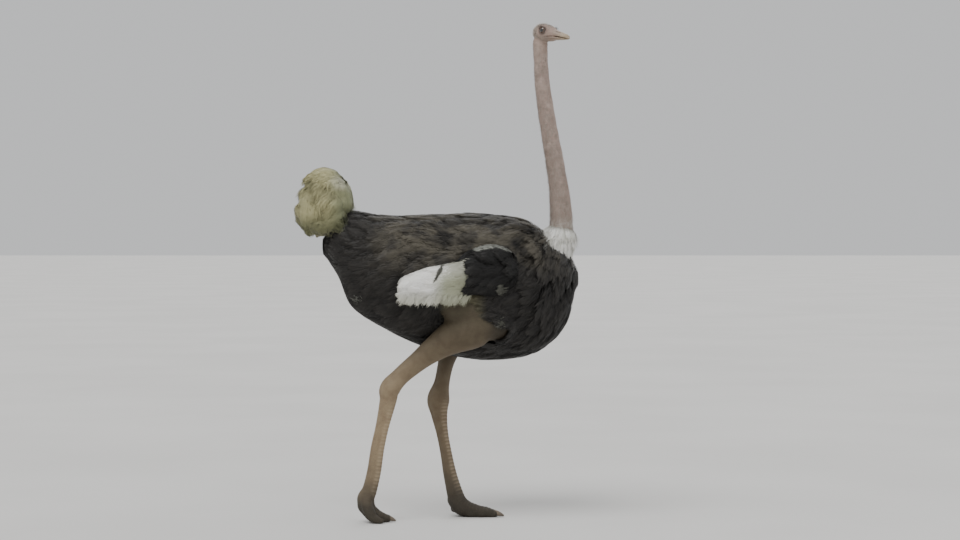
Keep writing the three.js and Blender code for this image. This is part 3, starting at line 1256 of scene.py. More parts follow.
def march(form: Field, roots: Array, turns: Array, lie: Lie, length: Array, seed: int,
          stray: Array | float = 0.14, sway: float = 0.30, cling: float = 0.5,
          points: int = 7) -> Tracks:
    """Runs a path from each root over a field's surface, the way that the plumes lie.

    Each step goes along the lie, turned aside by a slow noise and by the plume's own stray,
    and is then brought back to the surface: wholly from inside, and by `cling` from outside,
    so that tips stand off where the body falls away.

    Args:
        form: the body that they lie on.
        roots: where they start.
        turns: the roots' places in the bake.
        lie: the direction of the lie at each point.
        length: each plume's length, in metres.
        seed: names the draw.
        stray: how far single plumes turn aside.
        sway: how far neighbours turn aside together.
        cling: how closely the tips follow the surface.
        points: points on a path.

    Returns:
        The tracks.
    """
    rng = np.random.default_rng(seed)
    own = rng.normal(0, stray, len(roots))[:, None]
    step = (length / (points - 1))[:, None]
    p = form.settle(roots)
    places = [p]
    for _ in range(points - 1):
        out = unit(form.read(p)[1])
        way = lie(p)
        way = way + np.cross(out, way) * (own + sway * drift(p, 0.16, seed)[:, None])
        way = unit(way - out * (way * out).sum(1, keepdims=True) * 0.96)
        p = form.settle(p + way * step, 0.0, cling)
        places.append(p)
    paths = np.stack(places, 1)
    out = unit(form.read(paths.reshape(-1, 3))[1]).reshape(paths.shape)
    return Tracks(paths, out, turns)


# ---- The bird ----

def fit(ob: bpy.types.Object, material: bpy.types.Material, slot: Slot, *nodes: str) -> None:
    """Dresses a piece, sets it on the body and reports it.

    Args:
        ob: the piece.
        material: its finish.
        slot: the record's slot; not used.
        nodes: the frame's nodes that it stands for.
    """
    ob.data.materials.append(material)
    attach(ob, "root")
    if nodes:
        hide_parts(*nodes)
    sizes = np.zeros(len(ob.data.polygons), np.int32)
    ob.data.polygons.foreach_get("loop_total", sizes)
    LOG.info("%s: %d triangles", ob.name, int((sizes - 2).sum()))


def head_axes(yaw: float, pitch: float) -> Array:
    """The head's own forward, left and up, as rows in the bird's axes.

    Args:
        yaw: its turn to the left, in radians.
        pitch: how far the bill drops, in radians.

    Returns:
        The three rows.
    """
    (turn, aside), (level, drop) = ((math.cos(a), math.sin(a)) for a in (yaw, pitch))
    return np.array(((level * turn, level * aside, -drop), (-aside, turn, 0.0),
                     (drop * turn, drop * aside, level)))


HEAD_AXES = head_axes(HEAD_YAW, HEAD_PITCH)


def from_head(p: Array) -> Array:
    """Points in the head's axes, set in the bird's."""
    return p @ HEAD_AXES + HEAD_CENTRE


def to_head(p: Array) -> Array:
    """Points in the bird's axes, seen in the head's."""
    return (p - HEAD_CENTRE) @ HEAD_AXES.T


def folded(p: Array) -> Array:
    """The points with Y made positive, so that one side's measures serve both."""
    return np.stack((p[:, 0], np.abs(p[:, 1]), p[:, 2]), -1)


def segment_distance(p: Array, a: Array, b: Array) -> Array:
    """Distance from points to the straight line between a and b.

    Args:
        p: points, in rows.
        a: one end.
        b: the other end.

    Returns:
        The distances.
    """
    run = b - a
    t = np.clip(((p - a) @ run) / (run @ run), 0, 1)
    return np.linalg.norm(p - a - t[:, None] * run, axis=1)


@dataclass
class Hide:
    """The one skin over trunk, wings, tail, neck, head, legs and toes."""

    coat_depth: float = 0.046
    wing_depth: float = 0.017
    tail_depth: float = 0.044
    scute_pitch: float = 0.0165
    scute_rise: float = 0.0016
    pad_pitch: float = 0.046
    pad_rise: float = 0.0035
    ring_pitch: float = 0.0125  # of the slack skin round the neck
    ring_rise: float = 0.0009
    windpipe: float = 0.0028
    hocks: tuple[float, float] = (0.592, 0.520)  # their heights, right and left
    knob: float = 0.0045  # how far the hocks' knobs stand out
    groove: float = 0.0032
    smoothing: int = 45  # passes over the joints between parts
    # The legs' tones at even heights, from the floor to 1 m, the top ones dark as painted shade;
    # how dark painted shade makes the left leg.
    leg_tones: tuple[Colour, ...] = (
        (0.10, 0.081, 0.052), (0.23, 0.177, 0.11), (0.33, 0.25, 0.153), (0.25, 0.192, 0.12),
        (0.10, 0.077, 0.047), (0.066, 0.057, 0.034),
    )
    left_painted_shade: float = 0.58

    def neck_relief(self, t: Array, angle: Array, p: Array) -> Array:
        """Fine rings of slack skin, and the windpipe's ridge down the front.

        Args:
            t: places along the neck; not used.
            angle: turns round it.
            p: the points there.

        Returns:
            The rise, in metres.
        """
        z = p[..., 2]
        ring = np.sin((z + 0.004 * drift(p, 0.05, 3)) * FULL_TURN / self.ring_pitch)
        ring = ring * (0.5 + 0.5 * drift(p, 0.06, 4)) * self.ring_rise
        bare = ramp(z, 1.27, 1.36)
        pipe = hump(np.sin(angle), -1.0, 0.22) * self.windpipe
        return (ring + pipe + 0.0012 * drift(p, 0.03, 5)) * bare

    def leg_relief(self, limb: Limb, t: Array, angle: Array, p: Array) -> Array:
        """Scutes down the shank's front and the toe's top, cords and knobs at the hock.

        Args:
            limb: the leg.
            t: places along it.
            angle: turns round it.
            p: the points there.

        Returns:
            The rise, in metres.
        """
        run, front, z = limb.reach(t), np.sin(angle), p[..., 2]
        low = 1 - ramp(z, 0.46, 0.56)
        beat = (run / self.scute_pitch) % 1.0
        plate = ramp(beat, 0.0, 0.22) * (1 - 0.45 * ramp(beat, 0.3, 1.0))
        scutes = plate * self.scute_rise * ramp(front, 0.05, 0.5) * low
        hock = z - np.where(p[..., 1] > 0, self.hocks[1], self.hocks[0])
        knob = hump(hock, 0.0, 0.045) * hump(np.abs(np.cos(angle)), 1.0, 0.45) * self.knob
        groove = hump(np.abs(angle - 1.30 * math.pi), 0.0, 0.28) * ramp(z, 0.15, 0.25)
        groove = groove * (1 - ramp(z, 0.60, 0.75)) * -self.groove
        cords = hump(np.abs(angle - 1.62 * math.pi), 0.0, 0.26) * (1 - ramp(z, 0.75, 0.9))
        muscle = drift(p, 0.11, 6) * 0.004 * ramp(z, 0.62, 0.80)
        foot = 1 - ramp(z, 0.06, 0.12)
        pads = (0.5 - 0.5 * np.cos(run * FULL_TURN / self.pad_pitch)) * ramp(-front, 0.1, 0.7)
        pads = foot * (pads * self.pad_rise + 0.0008 * drift(p, 0.016, 7))
        return scutes + knob + groove + cords * 0.002 * ramp(z, 0.1, 0.2) + muscle + pads

    def parts(self) -> list[Surface]:
        """The closed surfaces that are joined into the skin.

        Returns:
            The surfaces, the trunk first.
        """
        made = [Hull(TRUNK, self.coat_depth).tube(60, 72),
                Limb(TAIL, self.tail_depth).tube(0.012, 40),
                Limb(NECK).tube(0.0042, 64, self.neck_relief), Head().skin()]
        for side in Side:
            leg = Limb(LEG[side])
            made += [
                leg.tube(0.0033, 46, lambda t, a, p, leg=leg: self.leg_relief(leg, t, a, p)),
                Limb(THIGH[side], 0.002).tube(0.010, 56, lambda t, a, p: drift(p, 0.12, 6) * 0.004),
                Limb(SMALL_TOE[side]).tube(0.003, 36, self.toe_relief),
                Limb(on_side(WING, side), self.wing_depth).tube(0.012, 36),
                Limb(on_side(WING_PLUMES, side), self.wing_depth).tube(0.012, 36),
            ]
        return made

    def toe_relief(self, t: Array, angle: Array, p: Array) -> Array:
        """Scutes on the small toe's top."""
        beat = (t * 0.15 / self.scute_pitch * 1.4) % 1.0
        return ramp(beat, 0.0, 0.25) * self.scute_rise * 0.8 * ramp(np.sin(angle), 0.1, 0.5)

    def joined(self, pieces: list[bpy.types.Object]) -> bpy.types.Object:
        """Unites closed pieces in one mesh.

        Args:
            pieces: the pieces; the first takes the mesh and the others are removed.

        Returns:
            The skin.
        """
        ob, others = pieces[0], pieces[1:]
        rest = bpy.data.collections.new("parts")
        for other in others:
            rest.objects.link(other)
        union = ob.modifiers.new("union", "BOOLEAN")
        union.operation, union.operand_type, union.solver = "UNION", "COLLECTION", "MANIFOLD"
        union.collection = rest
        done = bpy.data.meshes.new_from_object(
            ob.evaluated_get(bpy.context.evaluated_depsgraph_get()))
        ob.modifiers.clear()
        done.materials.clear()
        ob.data, ob.name = done, "skin"
        for other in others:
            bpy.data.objects.remove(other)
        bpy.data.collections.remove(rest)
        return ob

    def build(self, finish: SkinFinish) -> None:
        """Joins the parts, eases their joints, flattens the soles and paints the whole.

        Args:
            finish: the hide's finish.
        """
        pieces = [part.mesh(f"part_{k}") for k, part in enumerate(self.parts())]
        known = self.code(np.vstack([vertices(ob) for ob in pieces]))
        ob = self.joined(pieces)
        p = self.eased(ob, known)
        p[:, 2] = np.maximum(p[:, 2], 0.0)
        ob.data.vertices.foreach_set("co", (p + FRAME_SHIFT).astype(np.float32).ravel())
        ob.data.polygons.foreach_set("use_smooth", np.ones(len(ob.data.polygons), bool))
        ob.data.update()
        flesh, scaly = self.colours(p)
        paint(ob, "flesh", flesh)
        paint(ob, "scaly", scaly)
        names = ["trunk", "tail", "collar", "head", "neck_lower", "neck_middle", "neck_upper"]
        for stem in ("wing", "wing_plumes", "thigh", "drumstick", "shank", "toe_big", "toe_small"):
            names += [f"{stem}_{side.label}" for side in Side]
        fit(ob, finish.material(), Slot.PINK, *names)

    @staticmethod
    def code(p: Array) -> Array:
        """One whole number for each point, from its three places in hundredths of a millimetre."""
        grid = np.round(p * 1e5).astype(np.int64) + 500_000
        return (grid[:, 0] * 2 ** 20 + grid[:, 1]) * 2 ** 20 + grid[:, 2]

    def eased(self, ob: bpy.types.Object, known: Array) -> Array:
        """Smooths the skin near the lines where its parts met.

        Args:
            ob: the joined skin.
            known: the codes of the parts' own vertices; all others are on a joint.

        Returns:
            The new vertices.
        """
        p = vertices(ob)
        joint = ~np.isin(self.code(p), known)
        edges = np.zeros(len(ob.data.edges) * 2, np.int32)
        ob.data.edges.foreach_get("vertices", edges)
        a, b = edges.reshape(-1, 2).T
        span = np.linalg.norm(p[a] - p[b], axis=1)
        reach = np.where(joint, 0.0, 1.0)
        for _ in range(24):
            np.minimum.at(reach, a, reach[b] + span)
            np.minimum.at(reach, b, reach[a] + span)
        zone = np.interp(p[:, 2], (0.0, 0.2, 0.6, 1.5, 2.0), (0.010, 0.02, 0.045, 0.045, 0.016))
        weight = 0.6 * (1 - ramp(reach / zone, 0.2, 1.0))[:, None]
        count = np.maximum(np.bincount(a, minlength=len(p)) + np.bincount(b, minlength=len(p)), 1)
        for _ in range(self.smoothing):
            mean = np.stack([(np.bincount(a, p[b, k], len(p)) + np.bincount(b, p[a, k], len(p)))
                             / count for k in range(3)], -1)
            p = p + (mean - p) * weight
        return p

    def colours(self, p: Array) -> tuple[Array, Array]:
        """The skin's colour and how scaly it is, at each point.

        Args:
            p: the skin's points.

        Returns:
            Colours in rows of four, and numbers from 0 to 1.
        """
        x, y, z = p.T
        colour = np.tile((0.030, 0.027, 0.024), (len(p), 1))

        def over(mask: Array, tone: Colour | Array) -> None:
            """Lays a tone over what is there."""
            colour[:] += (np.asarray(tone) - colour) * mask[:, None]

        rough = 1 - ramp(z, 0.10, 0.14)
        for side in Side:
            wing = Limb(on_side(WING_PLUMES, side)).distance(p)
            over(1 - ramp(wing, -0.005, 0.004), (0.42, 0.40, 0.36))
            shin, run, front = Limb(LEG[side]).locate(p)
            leg = np.minimum(shin, Limb(THIGH[side]).distance(p))
            tone = spline(np.array(self.leg_tones), np.clip(z, 0, 1))
            # Painted shade: the whole left leg darker.
            tone = tone * (1.0 if side is Side.RIGHT else self.left_painted_shade)
            # Painted shade on the upper leg's front, under the belly.
            tone = tone * (1 - 0.62 * ramp(x, 0.09, 0.18) * ramp(z, 0.72, 0.80))[:, None]
            over(1 - ramp(leg, 0.006, 0.016), tone)
            beat = (run / self.scute_pitch) % 1.0
            plated = ramp(front, 0.05, 0.5) * (1 - ramp(z, 0.46, 0.56)) * (shin < 0.016)
            over((1 - ramp(beat, 0.0, 0.28)) * plated * 0.55, (0.13, 0.095, 0.065))
            over(ramp(beat, 0.3, 0.9) * plated * 0.35, (0.46, 0.37, 0.26))
            rough = np.maximum(rough, (1 - 0.75 * plated) * (shin < 0.02))
            toe = Limb(SMALL_TOE[side]).distance(p)
            over(1 - ramp(toe, 0.006, 0.014), (0.17, 0.135, 0.09))
            # Darker towards the floor, over the lower shank and the toes.
            murk = (1 - ramp(z + 0.03 * drift(p, 0.06, 10), 0.06, 0.19)) * 0.92
            over(murk * (np.minimum(leg, toe) < 0.02), (0.034, 0.030, 0.021))
        over(1 - ramp(Limb(TAIL).distance(p), -0.008, 0.006), (0.24, 0.22, 0.14))
        neck = ramp(z, 1.30, 1.36) * ramp(x, 0.2, 0.3)
        over(ramp(z, 1.20, 1.25) * ramp(x, 0.35, 0.42), (0.45, 0.42, 0.38))
        over(neck, (0.37, 0.285, 0.245))
        over(neck * ramp(drift(p, 0.12, 9), 0.1, 1.0) * 0.5, (0.33, 0.25, 0.22))
        local = to_head(p)
        head = 1 - ramp(np.linalg.norm(local, axis=1), 0.065, 0.11)
        over(head * 0.7, (0.36, 0.27, 0.225))
        crown = head * ramp(local[:, 2], 0.018, 0.032)
        over(crown * 0.65, (0.22, 0.17, 0.14))
        eye = np.linalg.norm(folded(local) - np.array(Head.eye) * MM, axis=1)
        over(head * (1 - ramp(eye, 0.0225, 0.030)) * 0.6, (0.30, 0.215, 0.185))
        gape = segment_distance(folded(local), *Head.gape)
        over(head * (1 - ramp(gape, 0.0008, 0.003)) * 0.75, (0.10, 0.06, 0.05))
        scaly = (1 - ramp(z, 0.44, 0.62)) * rough
        return np.hstack((np.clip(colour, 0, 1), np.ones((len(p), 1)))), scaly


@dataclass
class Head:
    """Skull, eyes, lids, lashes, bill and nostrils, in the head's own axes."""

    eye: tuple[float, float, float] = (3.0, 28.0, 9.0)
    eye_radius: float = 0.0205
    socket: float = 0.0178  # the skin's radius under the eyeball
    lid_gap: float = 0.0021  # how far the skin lies over the eyeball
    lid_rise: float = 0.0026
    lash_counts: tuple[int, int] = (52, 20)  # above and below
    lash_lengths: tuple[float, float] = (0.0125, 0.005)
    opening: float = 0.86  # the skin's edge under the lids, as an angle off the eye's axis
    # The corner of the mouth: from the bill to under the eye.
    gape: ClassVar[tuple[Array, Array]] = (
        np.array((50, 27, -13)) * MM, np.array((8, 36, -21)) * MM)
    # Swellings and hollows of the skull: forward, aside, up, breadth, rise.
    dabs: Stations = (
        (8, 27, 27, 12, 2.2), (24, 22, 24, 10, 1.0), (34, 30, 5, 9, -2.4), (14, 37, -17, 13, 1.6),
        (31, 30, -24, 9, -1.4), (-34, 37, -2, 8.5, 1.6), (-34, 38, -2, 4.6, -5.0),
        (-50, 0, 22, 16, 1.4), (2, 0, 37, 20, -1.6), (-12, 34, -26, 14, 1.2), (40, 0, 22, 12, -1.0),
    )

    def axis(self, sign: int) -> Array:
        """The way that an eye looks: outwards, a little forward and down."""
        return unit(np.array((0.17, sign, -0.04)))

    def basis(self, sign: int) -> tuple[Array, Array, Array]:
        """An eye's axis, its way up, and the way square to both.

        Args:
            sign: which eye, -1 right or 1 left.

        Returns:
            The three ways.
        """
        axis = self.axis(sign)
        up = unit(np.array((0.0, 0.0, 1.0)) - axis * axis[2])
        return axis, up, np.cross(axis, up)

    def centre(self, sign: int) -> Array:
        """The middle of an eyeball."""
        return np.array(self.eye) * (1, sign, 1) * MM

    def skin(self) -> Surface:
        """The skull's surface with its swellings, orbits, mouth corners and ears.

        Returns:
            The surface.
        """
        made = Hull(SKULL).tube(104, 132)
        p = made.points
        spine = np.clip(p[:, :1], -0.045, 0.030) * (1, 0, 0)
        out = unit(p - spine)
        rise = np.zeros(len(p))
        for *place, breadth, height in self.dabs:
            for sign in (1, -1):
                away = np.linalg.norm(p - np.array(place) * (1, sign, 1) * MM, axis=1)
                rise += hump(away, 0, breadth * MM) * height * MM * (0.5 if place[1] == 0 else 1)
        slit = segment_distance(folded(p), *self.gape)
        rise += hump(slit, 0, 0.0022) * -0.0022 + hump(slit, 0.0045, 0.0025) * 0.0009
        rise += 0.0005 * drift(p, 0.009, 11) + 0.0006 * drift(p, 0.022, 12)
        p = p + out * rise[:, None]
        for sign in (1, -1):
            p = self.orbit(p, sign)
        made.points = from_head(p)
        return made

    def orbit(self, p: Array, sign: int) -> Array:
        """Draws the skin over an eyeball, and under it inside the lids.

        The distance from the eye's middle becomes a soft maximum of its own and the lid's.

        Args:
            p: points in the head's axes.
            sign: which eye, -1 right or 1 left.

        Returns:
            The moved points.
        """
        away = p - self.centre(sign)
        r = np.linalg.norm(away, axis=1)
        angle = np.arccos(np.clip(unit(away) @ self.axis(sign), -1, 1))
        lid = self.eye_radius + self.lid_gap
        folds = hump(angle, 1.12, 0.05) * -0.0007 + hump(angle, 1.34, 0.06) * -0.0007
        blend = 0.0022
        over = r + blend * np.log1p(np.exp(np.clip((lid - r) / blend, -30, 30))) + folds
        inner = 1 - ramp(angle, self.opening - 0.02, self.opening + 0.10)
        near = r < 0.05
        new = np.where(near & (p[:, 1] * sign > 0), over + (self.socket - over) * inner, r)
        return self.centre(sign) + unit(away) * new[:, None]

    def ball(self, sign: int) -> tuple[Surface, Array]:
        """An eyeball with a raised cornea, and for each vertex its angle off the axis.

        Args:
            sign: which eye, -1 right or 1 left.

        Returns:
            The ball, and its finish's colour rows.
        """
        theta = np.linspace(0, math.pi, 50)[1:-1]
        phi = np.linspace(0, FULL_TURN, 72, endpoint=False)
        axis, up, third = self.basis(sign)
        radius = self.eye_radius + 0.0012 * hump(theta, 0, 0.45)
        ring = up * np.cos(phi)[:, None] + third * np.sin(phi)[:, None]
        rings = (axis * np.cos(theta)[:, None, None]
                 + ring * np.sin(theta)[:, None, None]) * radius[:, None, None]
        rings = rings[::-1] + self.centre(sign)
        tips = self.centre(sign) - axis * radius[-1], self.centre(sign) + axis * radius[0]
        made = Surface.tube(rings, *tips)
        spoke = 0.5 + 0.5 * np.sin(phi * 23 + 2 * np.sin(phi * 7))
        angle = np.concatenate((np.repeat(theta[::-1], len(phi)), (math.pi, 0.0)))
        spokes = np.concatenate((np.tile(spoke, len(theta)), (0.5, 0.5)))
        made.points = from_head(made.points)
        return made, numbers(angle, spokes)

    def around(self, sign: int, phi: Array, spread: Array) -> Array:
        """Ways out of the middle of an eye.

        Args:
            sign: which eye, -1 right or 1 left.
            phi: angles round the eye's axis, from the top towards the bill.
            spread: angles off the axis.

        Returns:
            The ways, each one long.
        """
        axis, up, bill = self.basis(sign)
        bill = bill * np.sign(bill[0])
        ring = up * np.cos(phi)[..., None] + bill * np.sin(phi)[..., None]
        return axis * np.cos(spread)[..., None] + ring * np.sin(spread)[..., None]

    @staticmethod
    def rim(phi: Array) -> Array:
        """The lids' edge, as an angle off the eye's axis: low above, drawn out at the corners."""
        corner = 0.08 * hump(phi % FULL_TURN, 0.56 * math.pi, 0.30)
        return 0.755 - 0.115 * np.cos(2 * phi) - 0.045 * np.cos(phi) + corner

    def lid(self, sign: int) -> Surface:
        """Both lids of an eye: a rounded band from their edge out to the skin, with two folds.

        Args:
            sign: which eye, -1 right or 1 left.

        Returns:
            The surface.
        """
        phi = np.linspace(0, FULL_TURN, 132, endpoint=False)[:, None]
        turn = np.linspace(0, FULL_TURN, 26, endpoint=False)[None]
        edge = self.rim(phi)
        outer = 1.03 + 0.03 * np.cos(phi)
        share = 0.5 - 0.5 * np.cos(turn)
        spread = edge + (outer - edge) * share
        high = np.sin(turn)
        folds = 0.00045 * np.cos(share * 5 * math.pi) * ramp(high, 0.1, 0.6)
        bulge = self.lid_rise * np.maximum(high, 0) ** 0.7 * (1 + 0.25 * np.cos(phi)) - folds
        height = np.where(high > 0, bulge, 0.0016 * high) * (1 - 0.25 * share)
        way = self.around(sign, phi + 0 * turn, spread)
        rings = self.centre(sign) + way * (self.eye_radius + 0.0004 + height)[..., None]
        rows, sides = rings.shape[:2]
        a = np.arange(rows)[:, None] * sides + np.arange(sides)
        b = np.roll(a, -1, 1)
        quads = np.stack((a, b, np.roll(b, -1, 0), np.roll(a, -1, 0)), -1).reshape(-1, 4)
        return Surface(from_head(rings.reshape(-1, 3)), quads if sign > 0 else quads[:, ::-1])

    def lashes(self, sign: int, seed: int) -> Surface:
        """Curved bristles on the lids: long above, short below. Each tapers over three faces.

        Args:
            sign: which eye, -1 right or 1 left.
            seed: names the draw.

        Returns:
            The surface.
        """
        rng = np.random.default_rng(seed)
        upper, lower = self.lash_counts
        total = upper + lower
        phi = np.concatenate((np.linspace(-0.40, 0.42, upper), np.linspace(0.72, 1.28, lower)))
        phi = phi * math.pi + rng.normal(0, 0.02, total)
        above = (np.arange(total) < upper)[:, None]
        long = np.where(above, *self.lash_lengths) * rng.uniform(0.75, 1.15, (total, 1))
        edge = self.rim(phi) + 0.03
        way = self.around(sign, phi, edge)
        away = self.around(sign, phi, edge + 0.9)
        root = self.centre(sign) + way * (self.eye_radius + 0.0016)
        lift = np.where(above, 0.30, -0.25) * np.array((0, 0, 1.0))
        lift = lift + rng.normal(0, 0.07, (total, 3))
        s = np.linspace(0, 1, 4)[None, :, None]
        line = root[:, None] + long[:, None] * (unit(way + away * 0.35)[:, None] * s
                                                + lift[:, None] * s ** 2)
        wide = unit(np.cross(way, away))[:, None]
        half = 0.0004 * (1 - 0.85 * s)
        points = np.stack((line - wide * half, line + wide * half), 2)
        k = np.arange(total)[:, None] * 8 + np.arange(3) * 2
        quads = np.stack((k, k + 1, k + 3, k + 2), -1).reshape(-1, 4)
        return Surface(from_head(points.reshape(-1, 3)), quads)

    def bill(self, stations: Stations, upper: bool) -> tuple[Surface, Array]:
        """Half of the bill, and its finish's numbers: the way along it and its painted shade.

        Args:
            stations: the half's stations.
            upper: whether it is the upper half.

        Returns:
            The surface and the colour rows.
        """
        made = Hull(stations, square=0.86).tube(84, 96)
        p = made.points / MM
        u, v, w = p[:, 0], np.abs(p[:, 1]), p[:, 2]
        rise = np.zeros(len(p))
        dark = np.zeros(len(p))
        if upper:
            slit = segment_distance(np.stack((u, v, w), -1), np.array((66, 15.5, 9)),
                                    np.array((84, 12.5, 5.5)))
            rise += hump(slit, 0, 3.0) * -3.2 + hump(slit, 5.5, 2.2) * 0.8
            rise += hump(v, 0, 7.0) * ramp(w, -8, 2) * 1.3 * ramp(u, 46, 62)
            rise += hump(u, 118, 11) * ramp(w, -14, -4) * 1.5
            rise -= hump(u, 104, 5) * 0.8 * ramp(w, -12, -6)
            rise += hump(v, 12.0, 3.0) * -0.7 * ramp(u, 56, 70) * (1 - ramp(u, 96, 110))
            # Painted shade in the nostril's slit.
            dark = 1 - ramp(slit, 1.6, 3.6)
        else:
            rise += hump(v, 9.0, 3.0) * -0.6 * ramp(-w, 18, 24)
        # Painted shade along the seam between the halves.
        seam = np.interp(u, (40, 68, 94, 113, 124), (-12.1, -12.8, -13.8, -15.6, -17.8))
        dark = np.maximum(dark, (1 - ramp(np.abs(w - seam), 0.3, 1.3)) * 0.7)
        middle = np.stack((np.clip(u, 44, 112), 0 * u, np.interp(u, (40, 127), (-6, -13))), -1)
        out = unit(p - middle)
        made.points = from_head((p + out * rise[:, None]) * MM)
        return made, numbers(np.clip((u - 44) / 80, 0, 1), dark)

    def build(self, eye: EyeFinish, bill: HornFinish, lid: SkinFinish,
              lash: PlainFinish) -> None:
        """Makes eyes, lids, lashes and bill.

        Args:
            eye: the balls' finish.
            bill: the bill's.
            lid: the lids'.
            lash: the lashes'.
        """
        ball = eye.material()
        horn = bill.material()
        for side in Side:
            made, angles = self.ball(side.value)
            ob = made.mesh(f"eyeball_{side.label}")
            paint(ob, "ball", angles)
            fit(ob, ball, Slot.EYE, f"eye_{side.label}")
        lids = Surface.joined([self.lid(side.value) for side in Side]).mesh("eyelids")
        tone = np.tile((0.20, 0.145, 0.12, 1.0), (len(lids.data.vertices), 1))
        paint(lids, "flesh", tone)
        paint(lids, "scaly", np.zeros(len(tone)))
        fit(lids, lid.material(), Slot.PINK)
        lashes = Surface.joined([self.lashes(side.value, 20 + side.value) for side in Side])
        fit(lashes.mesh("eyelashes"), lash.material(), Slot.BLACK)
        for name, stations in (("bill_upper", BILL_UPPER), ("bill_lower", BILL_LOWER)):
            made, along_and_shade = self.bill(stations, name == "bill_upper")
            ob = made.mesh(f"{name}_horn")
            paint(ob, "horn", along_and_shade)
            fit(ob, horn, Slot.BILL, name)


@dataclass
class Feet:
    """The big toes' claws, ridged and blunt."""

    pitch: float = 0.0016  # between a claw's rings
    sides: int = 40
    domes: tuple[float, float] = (0.3, 0.9)
    length: float = 0.058
    keel: float = 0.0012
    growth: float = 0.0003  # the height of the growth rings

    def ridge(self, t: Array, angle: Array, p: Array) -> Array:
        """A keel along the top and growth rings across it."""
        return hump(np.sin(angle), 1.0, 0.25) * self.keel + self.growth * np.sin(t * 60 + 0 * angle)

    def build(self, finish: HornFinish) -> None:
        """Makes a claw for each big toe.

        Args:
            finish: the horn.
        """
        horn = finish.material()
        for side in Side:
            made = Limb(CLAW[side], domes=self.domes).tube(self.pitch, self.sides, self.ridge)
            start = CLAW[side][0][0] * MM
            made.points[:, 2] = np.maximum(made.points[:, 2], 0.0)
            ob = made.mesh(f"claw_horn_{side.label}")
            paint(ob, "horn", numbers(np.clip((made.points[:, 0] - start) / self.length, 0, 1)))
            fit(ob, horn, Slot.CLAW, f"claw_{side.label}")


# ---- The coat ----

COLLAR: Stations = ((392, 0, 1160, 92, 88), (428, 0, 1222, 84, 78), (447, 0, 1275, 68, 64),
                    (452, 0, 1306, 58, 56))
# The upper edge of the bare thigh on each side: (x, z) in metres.
BARE_LINE: dict[Side, Array] = {
    Side.RIGHT: np.array(((-0.20, 0.985), (-0.04, 0.985), (0.09, 1.015), (0.115, 0.95),
                          (0.19, 0.90), (0.30, 0.87))),
    Side.LEFT: np.array(((-0.28, 0.95), (-0.10, 0.975), (0.06, 1.00), (0.14, 0.95))),
}


def blocked(p: Array, overlap: float) -> Array:
    """Whether places are on a bare thigh, or inside a leg.

    Args:
        p: points, in rows.
        overlap: how far plumes hang over the bare line, in metres.

    Returns:
        True or false for each point.
    """
    result = np.zeros(len(p), bool)
    for side in Side:
        line = np.interp(p[:, 0], *BARE_LINE[side].T) - overlap
        on = (p[:, 1] * side.value > 0.02) & (Limb(THIGH[side]).distance(p) < 0.014)
        result |= on & (p[:, 2] < line)
        result |= Limb(LEG[side]).distance(p) < 0.0
    return result


def kept_clear(tracks: Tracks, overlap: float = 0.022) -> Tracks:
    """Ends each path where it comes to bare skin, and leaves out those that it stops early.

    Args:
        tracks: the paths.
        overlap: how far plumes hang over the bare line, in metres.

    Returns:
        The tracks that are left.
    """
    count, points = tracks.paths.shape[:2]
    stop = blocked(tracks.paths.reshape(-1, 3), overlap).reshape(count, points)
    share = np.where(stop.any(1), stop.argmax(1), points - 1) / (points - 1)
    keep = share > 0.3
    return tracks.chosen(keep).cut(share[keep])


